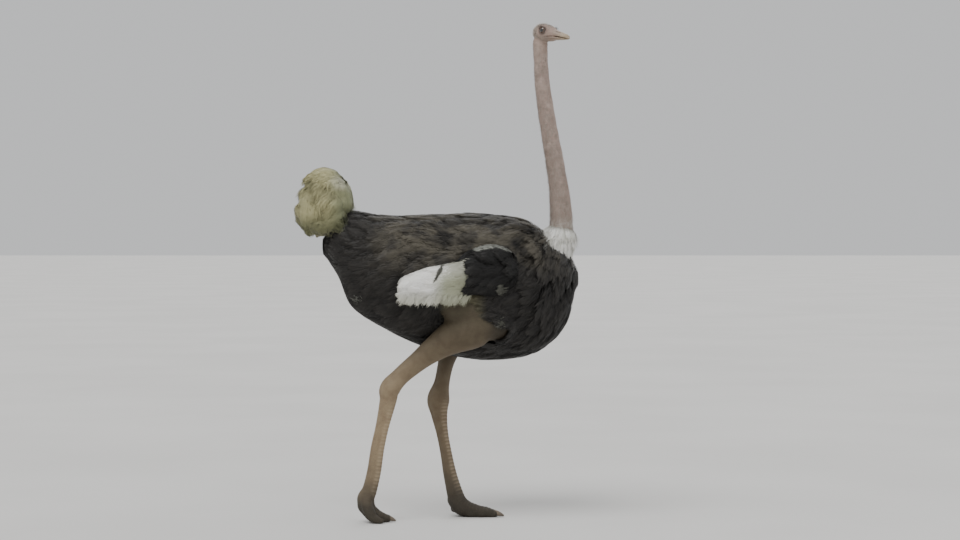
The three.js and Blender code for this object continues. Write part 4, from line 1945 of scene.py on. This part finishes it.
@dataclass
class BodyCoat:
    """The loose black plumage of the trunk, in pieces by region."""

    count: int = 13500
    thigh_count: int = 700
    depth: float = 0.040
    length: float = 0.128
    breast_less: float = 0.055  # how much shorter the breast's plumes are
    rump_more: float = 0.030  # how much longer the rump's are
    proud: float = 0.007
    make: Plume = Plume(breadth=0.19)

    def lie(self, p: Array) -> Array:
        """Back and a little down; down on the breast; up and over at the rump.

        Args:
            p: points, in rows.

        Returns:
            The directions.
        """
        x, _, z = p.T
        low = 1 - ramp(z, 0.80, 1.25)
        breast = ramp(x, 0.30, 0.47)
        rump = ramp(-x, 0.40, 0.54) * ramp(z, 1.12, 1.28)
        down = -0.10 - 0.50 * low - 1.0 * breast + 0.9 * rump
        return unit(np.stack((-1 + 0.75 * breast, 0 * x, down), -1))

    def regions(self, p: Array) -> dict[str, Array]:
        """Which roots belong to each piece.

        Args:
            p: the roots.

        Returns:
            For each piece's name, true or false for each root.
        """
        x, y, z = p.T
        rear, front = x < -0.40, x > 0.36
        middle = ~rear & ~front
        top, under = z > 1.27, z < 0.90
        return {
            "plumes_rump": rear, "plumes_breast": front, "plumes_back": middle & top,
            "plumes_belly": middle & under,
            "plumes_flank_right": middle & ~top & ~under & (y < 0),
            "plumes_flank_left": middle & ~top & ~under & (y >= 0),
        }

    def sown(self, body: Field) -> tuple[Array, Array]:
        """Roots over the trunk and the thighs, but not under wings, tail or neck.

        Args:
            body: the field of trunk and thighs.

        Returns:
            The roots, and their places in the bake.
        """
        place, turn = sow(Hull(TRUNK), self.count, 1)
        sown = [(place, turn * (1, 0.84))]
        for k, side in enumerate(Side):
            place, turn = sow(Limb(THIGH[side], domes=(0.9, 0.9)), self.thigh_count, 2 + k)
            sown.append((place, turn * (1, 0.06) + (0, 0.86 + 0.07 * k)))
        place, turn = np.vstack([s[0] for s in sown]), np.vstack([s[1] for s in sown])
        open_air = (body.read(place)[0] > -0.008) & ~blocked(place, 0.0)
        for side in Side:
            for wing in (WING, WING_PLUMES):
                open_air &= Limb(on_side(wing, side)).distance(place) > -0.022
        open_air &= Limb(TAIL).distance(place) > -0.02
        open_air &= Limb(NECK).distance(place) > -0.004
        return place[open_air], turn[open_air]

    def build(self, body: Field, finish: PlumageFinish) -> None:
        """Sows, lays and clumps the plumes, and makes each region's piece.

        Args:
            body: the field of trunk and thighs.
            finish: the plumes' finish.
        """
        rng = np.random.default_rng(31)
        place, turn = self.sown(body)
        x, _, z = place.T
        length = self.length - self.breast_less * ramp(x, 0.25, 0.46)
        length = length + self.rump_more * ramp(-x, 0.30, 0.50)
        length = length * (1 - 0.15 * ramp(z, 1.15, 1.3)) * rng.uniform(0.82, 1.18, len(place))
        tracks = march(body, place, turn, self.lie, length, 5, cling=0.8)
        tracks = kept_clear(tracks.clumped(15, 0.55, 0.0, 6))
        count = len(tracks.paths)
        tracks = tracks.raised((0, -self.depth), (0.35, -0.012), (0.75, 0.002), (1.0, 0.004),
                               spread=rng.normal(0, 0.006, count))
        tracks = tracks.clumped(15, 0.25, 0.011, 6)
        tint = rng.uniform(0.1, 0.9, count) + 0.3 * drift(tracks.paths[:, 3], 0.07, 8)
        tint = np.clip(tint, 0, 1)
        material = finish.material()
        for number, (name, mask) in enumerate(self.regions(tracks.paths[:, 1]).items()):
            tufts = self.make.build(tracks.chosen(mask), tint[mask], 40 + number)
            fit(tufts.held(body, self.proud).mesh(name), material, Slot.BLACK)


@dataclass(frozen=True)
class Lay:
    """How one sort of plume lies on a wing."""

    make: Plume
    lengths: tuple[float, float]  # at the wing's front and at its rear end, in metres
    depth: float  # of the roots
    proud: float = 0.006  # how far the plumes may stand out


# The short plumes of the rims, the notch and the strays.
FINE = Plume(locks=7, reach=0.34, quill=0.0006)


@dataclass
class WingCoat:
    """Each wing: short dark coverts over its shoulder, long white plumes behind, an ashy rim."""

    coverts: int = 900
    whites: int = 1250
    rim: int = 300
    hems: int = 520
    covert: Lay = Lay(Plume(reach=0.36, breadth=0.20), (0.062, 0.085), 0.015, 0.008)
    white: Lay = Lay(Plume(locks=11, reach=0.34, breadth=0.19, sag=0.15), (0.14, 0.075), 0.020)
    edge: Lay = Lay(FINE, (0.030, 0.038), -0.002, 0.016)
    stray: Lay = Lay(FINE, (0.021, 0.021), -0.014, 0.016)
    loose: Plume = Plume(locks=7, reach=0.55, lean=(34.0, 14.0), breadth=0.14, sag=0.1, ragged=0.6)
    covert_end: float = 0.044  # as far back as the coverts reach, in metres
    white_start: float = 0.078  # where the white plumes' roots begin
    white_end: float = -0.246
    rim_turn: float = 0.715  # where the right wing's rim lies, as a share of a turn
    # The two ends of a dark gap between the white plumes of the right wing, laid with grey plumes
    # as painted shade: forward, up.
    notch: tuple[tuple[float, float], ...] = ((-0.070, 1.140), (-0.100, 1.078))
    # Stray ashy plumes in the dark plumage of the right side: forward, up, spread.
    strays: Stations = ((0.190, 1.032, 0.011), (0.182, 0.884, 0.009), (-0.448, 0.985, 0.009))

    def covert_line(self, p: Array) -> Array:
        """As far back as the coverts reach: further half way up, and over the wing's top."""
        z = p[:, 2]
        return self.covert_end - 0.024 * hump(z, 1.026, 0.030) - 0.08 * ramp(z, 1.158, 1.190)

    @staticmethod
    def back(p: Array) -> Array:
        """Backwards, and a little down."""
        return unit(np.array((-1, 0, -0.16)) + 0 * p)

    @staticmethod
    def round(p: Array) -> Array:
        """Backwards over the shoulder, falling away below it and rising above."""
        fall = np.clip((p[:, 2] - 1.12) * 3.0, -0.5, 0.25)
        return unit(np.stack((-1 + 0 * fall, 0 * fall, fall - 0.15), -1))

    def build(self, body: Field, black: PlumageFinish, white: PlumageFinish,
              ash: PlumageFinish, smoke: PlumageFinish) -> None:
        """Makes both wings' coverts, rims and white plumes, and the strays.

        Args:
            body: the field of trunk and thighs.
            black: the coverts' finish.
            white: the white plumes'.
            ash: the rim's.
            smoke: the notch's and the strays'.
        """
        dark, light, grey = black.material(), white.material(), ash.material()
        for side in Side:
            shoulder = Limb(on_side(WING, side), domes=(0.8, 0.5))
            plumes = Limb(on_side(WING_PLUMES, side), domes=(0.1, 0.8))
            wing = Field((shoulder, plumes), (-0.40, min(0, side.value * 0.36), 0.90),
                         (0.36, max(0, side.value * 0.36), 1.32), 0.010)
            seed = 50 + side.value
            place, turn = sow(shoulder, self.coverts, seed)
            tufts = self.laid(place, turn, wing, body, self.round, self.covert, seed,
                              self.covert_line)
            fit(tufts.mesh(f"wing_coverts_{side.label}"), dark, Slot.BLACK)
            place, turn = sow(plumes, self.whites, seed + 4)
            more, also = sow(shoulder, self.whites, seed + 8)
            rear = (more[:, 0] < self.white_start) & (more[:, 2] < 1.165)
            place = np.vstack((place, more[rear]))
            turn = np.vstack((turn * (1, 0.6), also[rear] * (0.1, 0.37) + (0, 0.62)))
            tufts = self.laid(place, turn, wing, body, self.back, self.white, seed + 4,
                              lambda p: self.white_end + 0 * p[:, 0])
            fit(tufts.mesh(f"wing_whites_{side.label}"), light, Slot.WHITE)
            fit(self.hem(plumes, side).mesh(f"wing_hem_{side.label}"), light, Slot.WHITE)
            t, spin = scatter(self.rim, seed).T
            outer = self.rim_turn if side is Side.RIGHT else 1.5 - self.rim_turn
            angle = outer + 0.12 * (spin - 0.5)
            t = 0.08 + 0.60 * t
            place, turn = shoulder.point(t, angle * FULL_TURN), np.stack((t, angle), -1)
            tufts = self.laid(place, turn, wing, body, self.round, self.edge, seed + 12)
            fit(tufts.mesh(f"wing_rim_{side.label}"), grey, Slot.WHITE)
        self.details(body, smoke.material())

    def details(self, body: Field, smoke: bpy.types.Material) -> None:
        """Smoky plumes in the right wing's notch, as painted shade in the gap, and stray ones about
        it.

        Args:
            body: the field of trunk and thighs.
            smoke: their material.
        """
        near = Field((Hull(TRUNK), Limb(THIGH[Side.RIGHT]), Limb(WING, domes=(0.8, 0.5)),
                      Limb(WING_PLUMES, domes=(0.1, 0.8))),
                     (-0.55, -0.38, 0.80), (0.40, -0.08, 1.25), 0.010)
        rng = np.random.default_rng(64)
        ends = np.array(self.notch)
        share = rng.random((90, 1))
        gap = ends[0] + (ends[1] - ends[0]) * share + rng.normal(0, 0.006, (90, 2)) * (1 - share)
        spots = np.repeat(np.array(self.strays), 48, axis=0)
        stray = spots[:, :2] + rng.normal(0, 1, (len(spots), 2)) * spots[:, 2:]
        way = np.append(ends[1] - ends[0], 0)[[0, 2, 1]]
        for name, spot, lie in (("wing_notch", gap, lambda p: unit(way + 0 * p)),
                                ("stray_plumes", stray, self.back)):
            place = np.stack((spot[:, 0], np.full(len(spot), -0.29), spot[:, 1]), -1)
            for _ in range(10):
                place[:, 1] = near.settle(place)[:, 1]
            turn = 0.1 + 0.8 * scatter(len(spot), 3)
            tufts = self.laid(place, turn, near, body, lie, self.stray, 65)
            fit(tufts.mesh(name), smoke, Slot.BLACK)

    def hem(self, plumes: Limb, side: Side) -> Tufts:
        """The white plumes' soft ends, hanging loose below the wing's lower edge.

        Args:
            plumes: the wing's rear part.
            side: which wing.

        Returns:
            The tufts.
        """
        place, turn = sow(plumes, 4 * self.hems, 90 + side.value)
        x, y, z = place.T
        rng = np.random.default_rng(91)
        low = (z < 0.998 + 0.034 * rng.random(len(z))) & (np.abs(y) > 0.258) & (x > -0.246)
        place, turn, z = place[low], turn[low], z[low]
        length = z - rng.uniform(0.970, 0.994, len(place)) + 0.006
        way = np.array((-0.45, 0.10 * side.value, -0.88)) + rng.normal(0, 0.10, (len(place), 3))
        way = unit(way)
        s = np.linspace(0, 1, 5)[None, :, None]
        out = unit(np.array((0, side.value, -0.35)) + 0 * place)
        paths = place[:, None] + way[:, None] * length[:, None, None] * s
        paths = paths + out[:, None] * (-0.006 + 0.014 * s - 0.010 * s ** 2)
        tracks = Tracks(paths, np.broadcast_to(out[:, None], paths.shape), turn * (1, 0.6))
        return self.loose.build(tracks, rng.uniform(0.5, 1, len(place)), 92)

    def laid(self, place: Array, turn: Array, wing: Field, body: Field, lie: Lie, lay: Lay,
             seed: int, end: Callable[[Array], Array] | None = None) -> Tufts:
        """Plumes laid over the whole of a wing.

        Args:
            place: the roots.
            turn: for each root its t and its share of a turn.
            wing: the wing's field.
            body: the trunk's field; roots deep in the trunk are left out.
            lie: the way that they lie.
            lay: the sort of plume, its lengths and its depth.
            seed: names the draw.
            end: as far back as plumes from each root reach; if there is none, they are
                neither cut nor gathered in locks.

        Returns:
            The tufts.
        """
        rng = np.random.default_rng(seed)
        free = body.read(place)[0] > -0.030
        place, turn = place[free], turn[free]
        t = turn[:, 0]
        first, last = lay.lengths
        length = (first + (last - first) * t) * rng.uniform(0.85, 1.12, len(t))
        tracks = march(wing, place, turn, lie, length, seed, 0.10, 0.16, 0.7)
        if end is not None:
            limit = end(place) + 0.008 * drift(place, 0.05, 7) + 0.016 * rng.uniform(-1, 1, len(t))
            past = tracks.paths[..., 0] < limit[:, None]
            share = np.where(past.any(1), past.argmax(1) / (past.shape[1] - 1), 1.0)
            tracks = tracks.chosen(share > 0.25).cut(share[share > 0.25])
            tracks = tracks.clumped(14, 0.6, 0.010, seed)
        tracks = tracks.raised(
            (0, -lay.depth), (0.4, -lay.depth / 4), (0.8, 0.003), (1.0, -0.003),
            spread=rng.normal(0, 0.003, len(tracks.paths)))
        tint = rng.uniform(0, 1, len(tracks.paths)) * 0.35
        # Painted light: plumes lighter towards the wing's rear, darker towards its front.
        tint = tint + 0.65 * ramp(-tracks.paths[:, 4, 0], 0.02, 0.13)
        return lay.make.build(tracks, tint, seed).held(wing, lay.proud)


@dataclass
class TailCoat:
    """A cocked mop of cream plumes: rounded lumps over a core, each draped by its own plumes."""

    lumps: int = 5
    each: int = 190
    core: int = 1700
    proud: float = 0.007
    inset: float = 0.034  # how deep the core lies
    domes: tuple[float, float] = (0.25, 0.25)
    lengths: tuple[float, float] = (0.062, 0.100)
    lowest_root: float = 1.268
    lowest: float = 1.250  # plumes that hang lower are left out
    filling: float = 0.015  # how far plumes are lifted where they part
    make: Plume = Plume(locks=12, reach=0.36, breadth=0.19, sag=0.25)
    # The great lumps of one side: forward, aside, up, radius.
    great: Stations = (
        (-600, 30, 1490, 60), (-634, 46, 1474, 48), (-556, 46, 1470, 54), (-540, 40, 1420, 54),
        (-586, 66, 1390, 72), (-654, 60, 1382, 68), (-674, 40, 1328, 58), (-560, 80, 1334, 54),
        (-620, 84, 1304, 50), (-672, 30, 1300, 50), (-606, 30, 1296, 50),
        (-564, 26, 1498, 48), (-660, 40, 1440, 52),
    )

    @staticmethod
    def lie(p: Array) -> Array:
        """Backwards over the crown, then out from the middle and down.

        Args:
            p: points, in rows.

        Returns:
            The directions.
        """
        x, y, z = p.T
        away = unit(np.stack((x + 0.60, y, 0 * x), -1))
        top = ramp(z, 1.45, 1.55)[:, None]
        return unit((away * 0.55 + np.array((-0.20, 0, -0.9))) * (1 - top) + top * (-1, 0, 0.1))

    @staticmethod
    def whorl(p: Array) -> Array:
        """How near places are to the crown's front, where the plumes part: 0 to 1."""
        x, _, z = p.T
        return ramp(x, -0.60, -0.56) * ramp(z, 1.44, 1.47) * (1 - ramp(z, 1.53, 1.56))

    def balls(self) -> list[Ball]:
        """The lumps, each touching the tail's outline from inside, smaller towards the crown.

        Returns:
            The lumps.
        """
        form = Limb(TAIL)
        t, turn = scatter(self.lumps, 4).T
        t = 0.10 + 0.88 * t
        rng = np.random.default_rng(70)
        radius = (0.074 - 0.022 * t) * rng.uniform(0.82, 1.15, self.lumps)
        surface, centre = form.point(t, turn * FULL_TURN), form.frame(t)[0]
        middle = surface - unit(surface - centre) * radius[:, None] * 0.94
        made = [Ball(c, r) for c, r in zip(middle, radius)]
        for *place, breadth in self.great:
            for side in Side:
                shift = np.array((4, side.value, 5 if side is Side.LEFT else 0))
                made.append(Ball((place * np.array((1, side.value, 1)) + shift) * MM, breadth * MM))
        return made

    def sown(self, core: Limb, balls: list[Ball]) -> Array:
        """Roots over the core and the lumps, thicker where the plumes part.

        Args:
            core: the tail's core.
            balls: the lumps.

        Returns:
            The roots.
        """
        each = [(ball, int(self.each * (ball.radius / 0.06) ** 2)) for ball in balls]
        sown = [sow(form, count, 9 + k)[0] for k, (form, count)
                in enumerate([(core, self.core)] + each)]
        more = np.vstack([sow(ball, 3 * count, 60 + k)[0] for k, (ball, count) in enumerate(each)])
        return np.vstack(sown + [more[self.whorl(more) > 0.3]])

    def build(self, finish: PlumageFinish) -> None:
        """Sows plumes over the lumps and the core between them, and drapes them.

        Args:
            finish: the plumes' finish.
        """
        rng = np.random.default_rng(71)
        core = Limb(TAIL, inset=self.inset, domes=self.domes)
        balls = self.balls()
        corners = (-0.86, -0.26, 1.10), (-0.36, 0.26, 1.66)
        mop = Field((core, *balls), *corners, 0.009)
        outline = Field((Limb(TAIL, domes=self.domes), Hull(TRUNK)), *corners, 0.009)
        place = self.sown(core, balls)
        value, slope = mop.read(place)
        keep = (value > -0.007) & (unit(slope)[:, 2] > -0.75) & (place[:, 2] > self.lowest_root)
        keep &= Hull(TRUNK).distance(place) > -0.035
        place = place[keep]
        round_it = np.arctan2(place[:, 1], place[:, 0] + 0.61) / FULL_TURN + 0.5
        turn = np.stack(((place[:, 2] - 1.25) / 0.33, round_it), -1)
        length, parting = rng.uniform(*self.lengths, len(place)), self.whorl(place)
        tracks = march(mop, place, np.clip(turn, 0, 1), self.lie, length, 72,
                       0.20 + 0.35 * parting, 0.45, 0.8)
        tracks = tracks.clumped(12, 0.5, 0.009, 73).raised(
            (0, -0.020), (0.35, -0.002), (0.7, 0.003), (1.0, -0.006),
            spread=rng.normal(0, 0.004, len(place)))
        lifted = tracks.paths + tracks.out * (self.filling * parting)[:, None, None]
        tracks = Tracks(lifted, tracks.out, tracks.roots)
        tracks = tracks.chosen(tracks.paths[..., 2].min(1) > self.lowest)
        middle = tracks.paths[:, 4]
        # Painted shade: plumes darker the deeper they lie inside the tail's outline.
        deep = ramp(-outline.read(middle)[0], 0.004, 0.030)
        tint = np.clip(0.85 - 0.75 * deep + 0.2 * drift(middle, 0.06, 74)
                       + rng.normal(0, 0.12, len(middle)), 0, 1)
        material = finish.material()
        for side in Side:
            mask = tracks.paths[:, 3, 1] * side.value > 0
            tufts = self.make.build(tracks.chosen(mask), tint[mask], 75)
            fit(tufts.held(outline, self.proud).mesh(f"tail_plumes_{side.label}"), material,
                Slot.TAIL)


@dataclass
class NeckCoat:
    """The white ring at the neck's root, and thin down up the neck and on the head."""

    ring: int = 800
    neck: int = 9000
    head: int = 5200
    ring_lengths: tuple[float, float] = (0.040, 0.062)
    neck_lengths: tuple[float, float] = (0.009, 0.018)
    head_lengths: tuple[float, float] = (0.005, 0.009)
    ring_plume: Plume = Plume(locks=9, reach=0.36, breadth=0.17)
    down: Plume = Plume(locks=1, bends=1, reach=0.7, lean=(30, 30), breadth=0.035, quill=0.0003)

    def collar(self, finish: PlumageFinish) -> None:
        """Short white plumes hanging down round the neck's root.

        Args:
            finish: the plumes' finish.
        """
        rng = np.random.default_rng(81)
        form = Limb(COLLAR)
        t, turn = scatter(self.ring, 15).T
        t = 0.30 + 0.70 * t
        root, out = form.point(t, turn * FULL_TURN, 0.86), form.frame(t)
        away = unit(form.point(t, turn * FULL_TURN) - out[0])
        length = rng.uniform(*self.ring_lengths, len(t))[:, None, None]
        s = np.linspace(0, 1, 6)[None, :, None]
        spread = rng.normal(0, 0.10, (len(t), 3))[:, None]
        below = form.point(np.clip(t - 0.30, 0, 1), turn * FULL_TURN, 1.02)
        way = unit(below - root)[:, None]
        bend = np.sin(s * math.pi * 0.8)
        paths = root[:, None] + (way + spread * s) * length * s + away[:, None] * 0.012 * bend
        tracks = Tracks(paths, np.broadcast_to(away[:, None], paths.shape), np.stack((t, turn), -1))
        tufts = self.ring_plume.build(tracks, rng.uniform(0.3, 1, len(t)), 82)
        fit(tufts.mesh("collar_plumes"), finish.material(), Slot.WHITE)

    def build(self, white: PlumageFinish, down: PlumageFinish) -> None:
        """Makes the collar, the neck's down and the head's.

        Args:
            white: the collar's finish.
            down: the down's.
        """
        self.collar(white)
        rng = np.random.default_rng(83)
        form = Limb(NECK)
        place, turn = sow(form, self.neck, 16)
        t = turn[:, 0]
        keep = (place[:, 2] > 1.26) & (np.linalg.norm(to_head(place), axis=1) > 0.062)
        place, turn, t = place[keep], turn[keep], t[keep]
        centre, run, *_ = form.frame(t)
        away = unit(place - centre)
        length = rng.uniform(*self.neck_lengths, len(t)) * (1.5 - 0.7 * ramp(place[:, 2], 1.3, 2.0))
        fit(self.hairs(place, away, -run, length, turn, 84).mesh("neck_down"),
            down.material(), Slot.PINK)
        p, turn = sow(Hull(SKULL), self.head, 17)
        eyes = np.linalg.norm(folded(p) - np.array(Head.eye) * MM, axis=1)
        keep = (eyes > 0.030) & (p[:, 0] < 0.034)
        keep &= rng.random(len(p)) < 0.35 + 0.65 * ramp(-p[:, 0], -0.03, 0.02)
        p, turn = p[keep], turn[keep]
        away = unit(p - np.clip(p[:, :1], -0.045, 0.03) * (1, 0, 0))
        back = unit(np.array((-1, 0, -0.35)) + 0 * p)
        length = rng.uniform(*self.head_lengths, len(p)) * (1 + 0.8 * ramp(p[:, 2], 0.02, 0.034))
        tufts = self.hairs(from_head(p), away @ HEAD_AXES, back @ HEAD_AXES, length, turn, 86)
        fit(tufts.mesh("head_down"), down.material(), Slot.PINK)

    def hairs(self, place: Array, away: Array, lie: Array, length: Array, turn: Array,
              seed: int) -> Tufts:
        """Tiny tufts: straight, leaning close to the skin.

        Args:
            place: the roots.
            away: the ways out of the skin.
            lie: the ways that they lie.
            length: their lengths, in metres.
            turn: their places in the bake.
            seed: names the draws.

        Returns:
            The tufts.
        """
        rng = np.random.default_rng(seed)
        way = unit(lie - away * (lie * away).sum(1, keepdims=True)) + away * 0.42
        way = way + rng.normal(0, 0.16, way.shape)
        s = np.linspace(0, 1, 3)[None, :, None]
        paths = (place + away * 0.0004)[:, None] + (way * length[:, None])[:, None] * s
        paths = paths - away[:, None] * length[:, None, None] * 0.18 * s ** 2
        tracks = Tracks(paths, np.broadcast_to(away[:, None], paths.shape), turn)
        return self.down.build(tracks, rng.uniform(0, 1, len(place)), seed + 1)


# ---- The studio ----

@dataclass(frozen=True)
class Lamp:
    """A far, broad soft light: the way that it comes from, its power and its breadth."""

    name: str
    way: tuple[float, float, float]
    power: float
    breadth: float


@dataclass(frozen=True)
class Studio:
    """Camera, pale floor and soft lights."""

    eye: tuple[float, float, float] = (0.0895, -9.4, 1.30)
    fall: float = 0.02  # how far the view drops in each metre
    focal: float = 78.75
    reach: float = 90.0  # half the floor's breadth
    gap: float = 0.0006  # between the soles and the floor
    sky: Colour = (0.84, 0.85, 0.86)
    glow: float = 0.80
    lamps: tuple[Lamp, ...] = (
        Lamp("key", (-0.45, -0.70, 1.30), 1.9, math.radians(35)),
        Lamp("fill", (0.80, -0.60, 0.60), 0.45, math.radians(60)),
        Lamp("rear", (0.30, 0.90, 0.80), 0.6, math.radians(50)),
    )

    def camera(self) -> None:
        """Sets the camera and makes it the scene's."""
        camera = bpy.data.objects.new("camera", bpy.data.cameras.new("camera"))
        camera.data.lens, camera.data.sensor_width = self.focal, 36.0
        camera.location = np.array(self.eye) + FRAME_SHIFT
        camera.rotation_euler = (math.pi / 2 - math.atan(self.fall), 0.0, 0.0)
        bpy.context.scene.collection.objects.link(camera)
        bpy.context.scene.camera = camera

    def floor(self, finish: PlainFinish) -> None:
        """Lays a wide floor just under the soles.

        Args:
            finish: the floor's finish.
        """
        corners = np.array(((-1, -1), (1, -1), (1, 1), (-1, 1))) * self.reach
        level = np.full((4, 1), -self.gap)
        ob = Surface(np.hstack((corners, level)), np.array(((0, 1, 2, 3),))).mesh("floor", False)
        ob.data.materials.append(finish.material())

    def light(self) -> None:
        """Gives the world its pale tone and hangs the lamps."""
        world = bpy.data.worlds.new("world")
        world.use_nodes = True
        sky = world.node_tree.nodes["Background"].inputs
        sky["Color"].default_value, sky["Strength"].default_value = (*self.sky, 1.0), self.glow
        bpy.context.scene.world = world
        for lamp in self.lamps:
            light = bpy.data.lights.new(lamp.name, "SUN")
            light.energy, light.angle = lamp.power, lamp.breadth
            ob = bpy.data.objects.new(lamp.name, light)
            x, y, z = lamp.way
            tilt, turn = math.atan2(math.hypot(x, y), z), math.atan2(y, x) + math.pi / 2
            ob.rotation_euler = (tilt, 0.0, turn)
            bpy.context.scene.collection.objects.link(ob)

    def build(self, finish: PlainFinish) -> None:
        """Sets up the whole studio.

        Args:
            finish: the floor's finish.
        """
        self.camera()
        self.floor(finish)
        self.light()


# ---- The finishes as used ----

BLACK = PlumageFinish(
    "black_plume", (0.005, 0.0045, 0.004), (0.009, 0.008, 0.0075), (0.019, 0.017, 0.015),
    (0.026, 0.023, 0.020), 0.55, 0.06, zones=(
        # Painted light and sheen: the upper body lighter and browner, mottled, where the sky falls
        # on it.
        Zone((0.094, 0.083, 0.062), (-0.36, -0.16, *NEVER), (1.04, 1.24, *NEVER), 0.8,
             mottled=True),
        Zone((0.11, 0.10, 0.058), (0.01, 0.06, 0.16, 0.24), (0.88, 0.93, 1.01, 1.05), 0.85)))
COVERT = PlumageFinish("covert_plume", (0.005, 0.0045, 0.004), (0.008, 0.0075, 0.007),
                       (0.017, 0.016, 0.015), (0.028, 0.026, 0.024), 0.5, 0.06)
WHITE = PlumageFinish(
    "white_plume", (0.33, 0.32, 0.26), (0.40, 0.40, 0.33), (0.90, 0.89, 0.86),
    (0.76, 0.74, 0.68), 0.7, 0.1, zones=(
        # Painted shade: the white plumes greyer over the wing's front, below its top.
        Zone((0.31, 0.32, 0.215), (-0.03, 0.06, *NEVER), (0, 0.9, 1.06, 1.13), 0.9),
        # Painted shade: the white plumes duller along their lower edge and hanging ends.
        Zone((0.48, 0.48, 0.37), (-1, -0.5, *NEVER), (0, 0.9, 0.985, 1.04), 0.6)))
ASH = PlumageFinish("ash_plume", (0.10, 0.10, 0.09), (0.20, 0.205, 0.18), (0.34, 0.345, 0.31),
                    (0.28, 0.285, 0.25), 0.65, 0.1, hidden=0.2)
# Grey plumes: painted shade in the right wing's notch, and ashy strays.
SMOKE = PlumageFinish("smoke_plume", (0.05, 0.05, 0.04), (0.09, 0.09, 0.075),
                      (0.15, 0.15, 0.125), (0.14, 0.14, 0.12), 0.65, 0.1, hidden=0.2)
CREAM = PlumageFinish(
    "tail_plume", (0.17, 0.16, 0.09), (0.25, 0.235, 0.125), (0.47, 0.44, 0.24),
    (0.40, 0.37, 0.20), 0.7, 0.1, hidden=0.2, zones=(
        # Painted shade: the tail greyer and greener towards its front, away from the light.
        Zone((0.24, 0.26, 0.15), (-0.49, -0.41, *NEVER), most=0.8),
        # Painted shade: the tail darker on its underside.
        Zone((0.17, 0.175, 0.095), up=(0, 1, 1.30, 1.38), most=0.8),
        # Painted shadow: a mottled crescent under the crown.
        Zone((0.22, 0.21, 0.115), (-0.55, -0.50, -0.42, -0.38), (1.405, 1.445, 1.465, 1.495),
             0.7, mottled=True),
        # Painted highlight: a bright mottled band across the crown.
        Zone((0.62, 0.60, 0.45), (-0.50, -0.43, *NEVER), (1.45, 1.495, 1.510, 1.540), 0.6,
             mottled=True)))
DOWN = PlumageFinish("down", (0.30, 0.24, 0.20), (0.30, 0.25, 0.21), (0.52, 0.46, 0.40),
                     (0.58, 0.53, 0.47), 0.7, 0.1)
BILL = HornFinish("bill_horn", (0.30, 0.225, 0.175), (0.37, 0.29, 0.195), (0.19, 0.14, 0.10))
CLAWS = HornFinish("claw_horn", (0.16, 0.12, 0.08), (0.09, 0.07, 0.05), (0.24, 0.19, 0.13))
LASH = PlainFinish("lash", (0.012, 0.010, 0.009), (0.03, 0.025, 0.02), 0.5, 300.0)
FLOOR = PlainFinish("floor", (0.60, 0.59, 0.57), (0.64, 0.63, 0.61), 0.8, 0.6)


def main() -> None:
    """Builds the bird over its frame, then the studio round it."""
    logging.basicConfig(level=logging.INFO, format="%(name)s %(message)s")
    hide = SkinFinish()
    Hide().build(hide)
    Head().build(EyeFinish(), BILL, hide, LASH)
    Feet().build(CLAWS)
    trunk = [Hull(TRUNK)] + [Limb(THIGH[side], domes=(0.9, 0.9)) for side in Side]
    low, high = (-0.74, -0.36, 0.62), (0.62, 0.36, 1.46)
    body = Field(trunk, low, high)
    BodyCoat().build(body, BLACK)
    WingCoat().build(body, COVERT, WHITE, ASH, SMOKE)
    TailCoat().build(CREAM)
    NeckCoat().build(WHITE, DOWN)
    Studio().build(FLOOR)


if __name__ == "__main__":
    main()
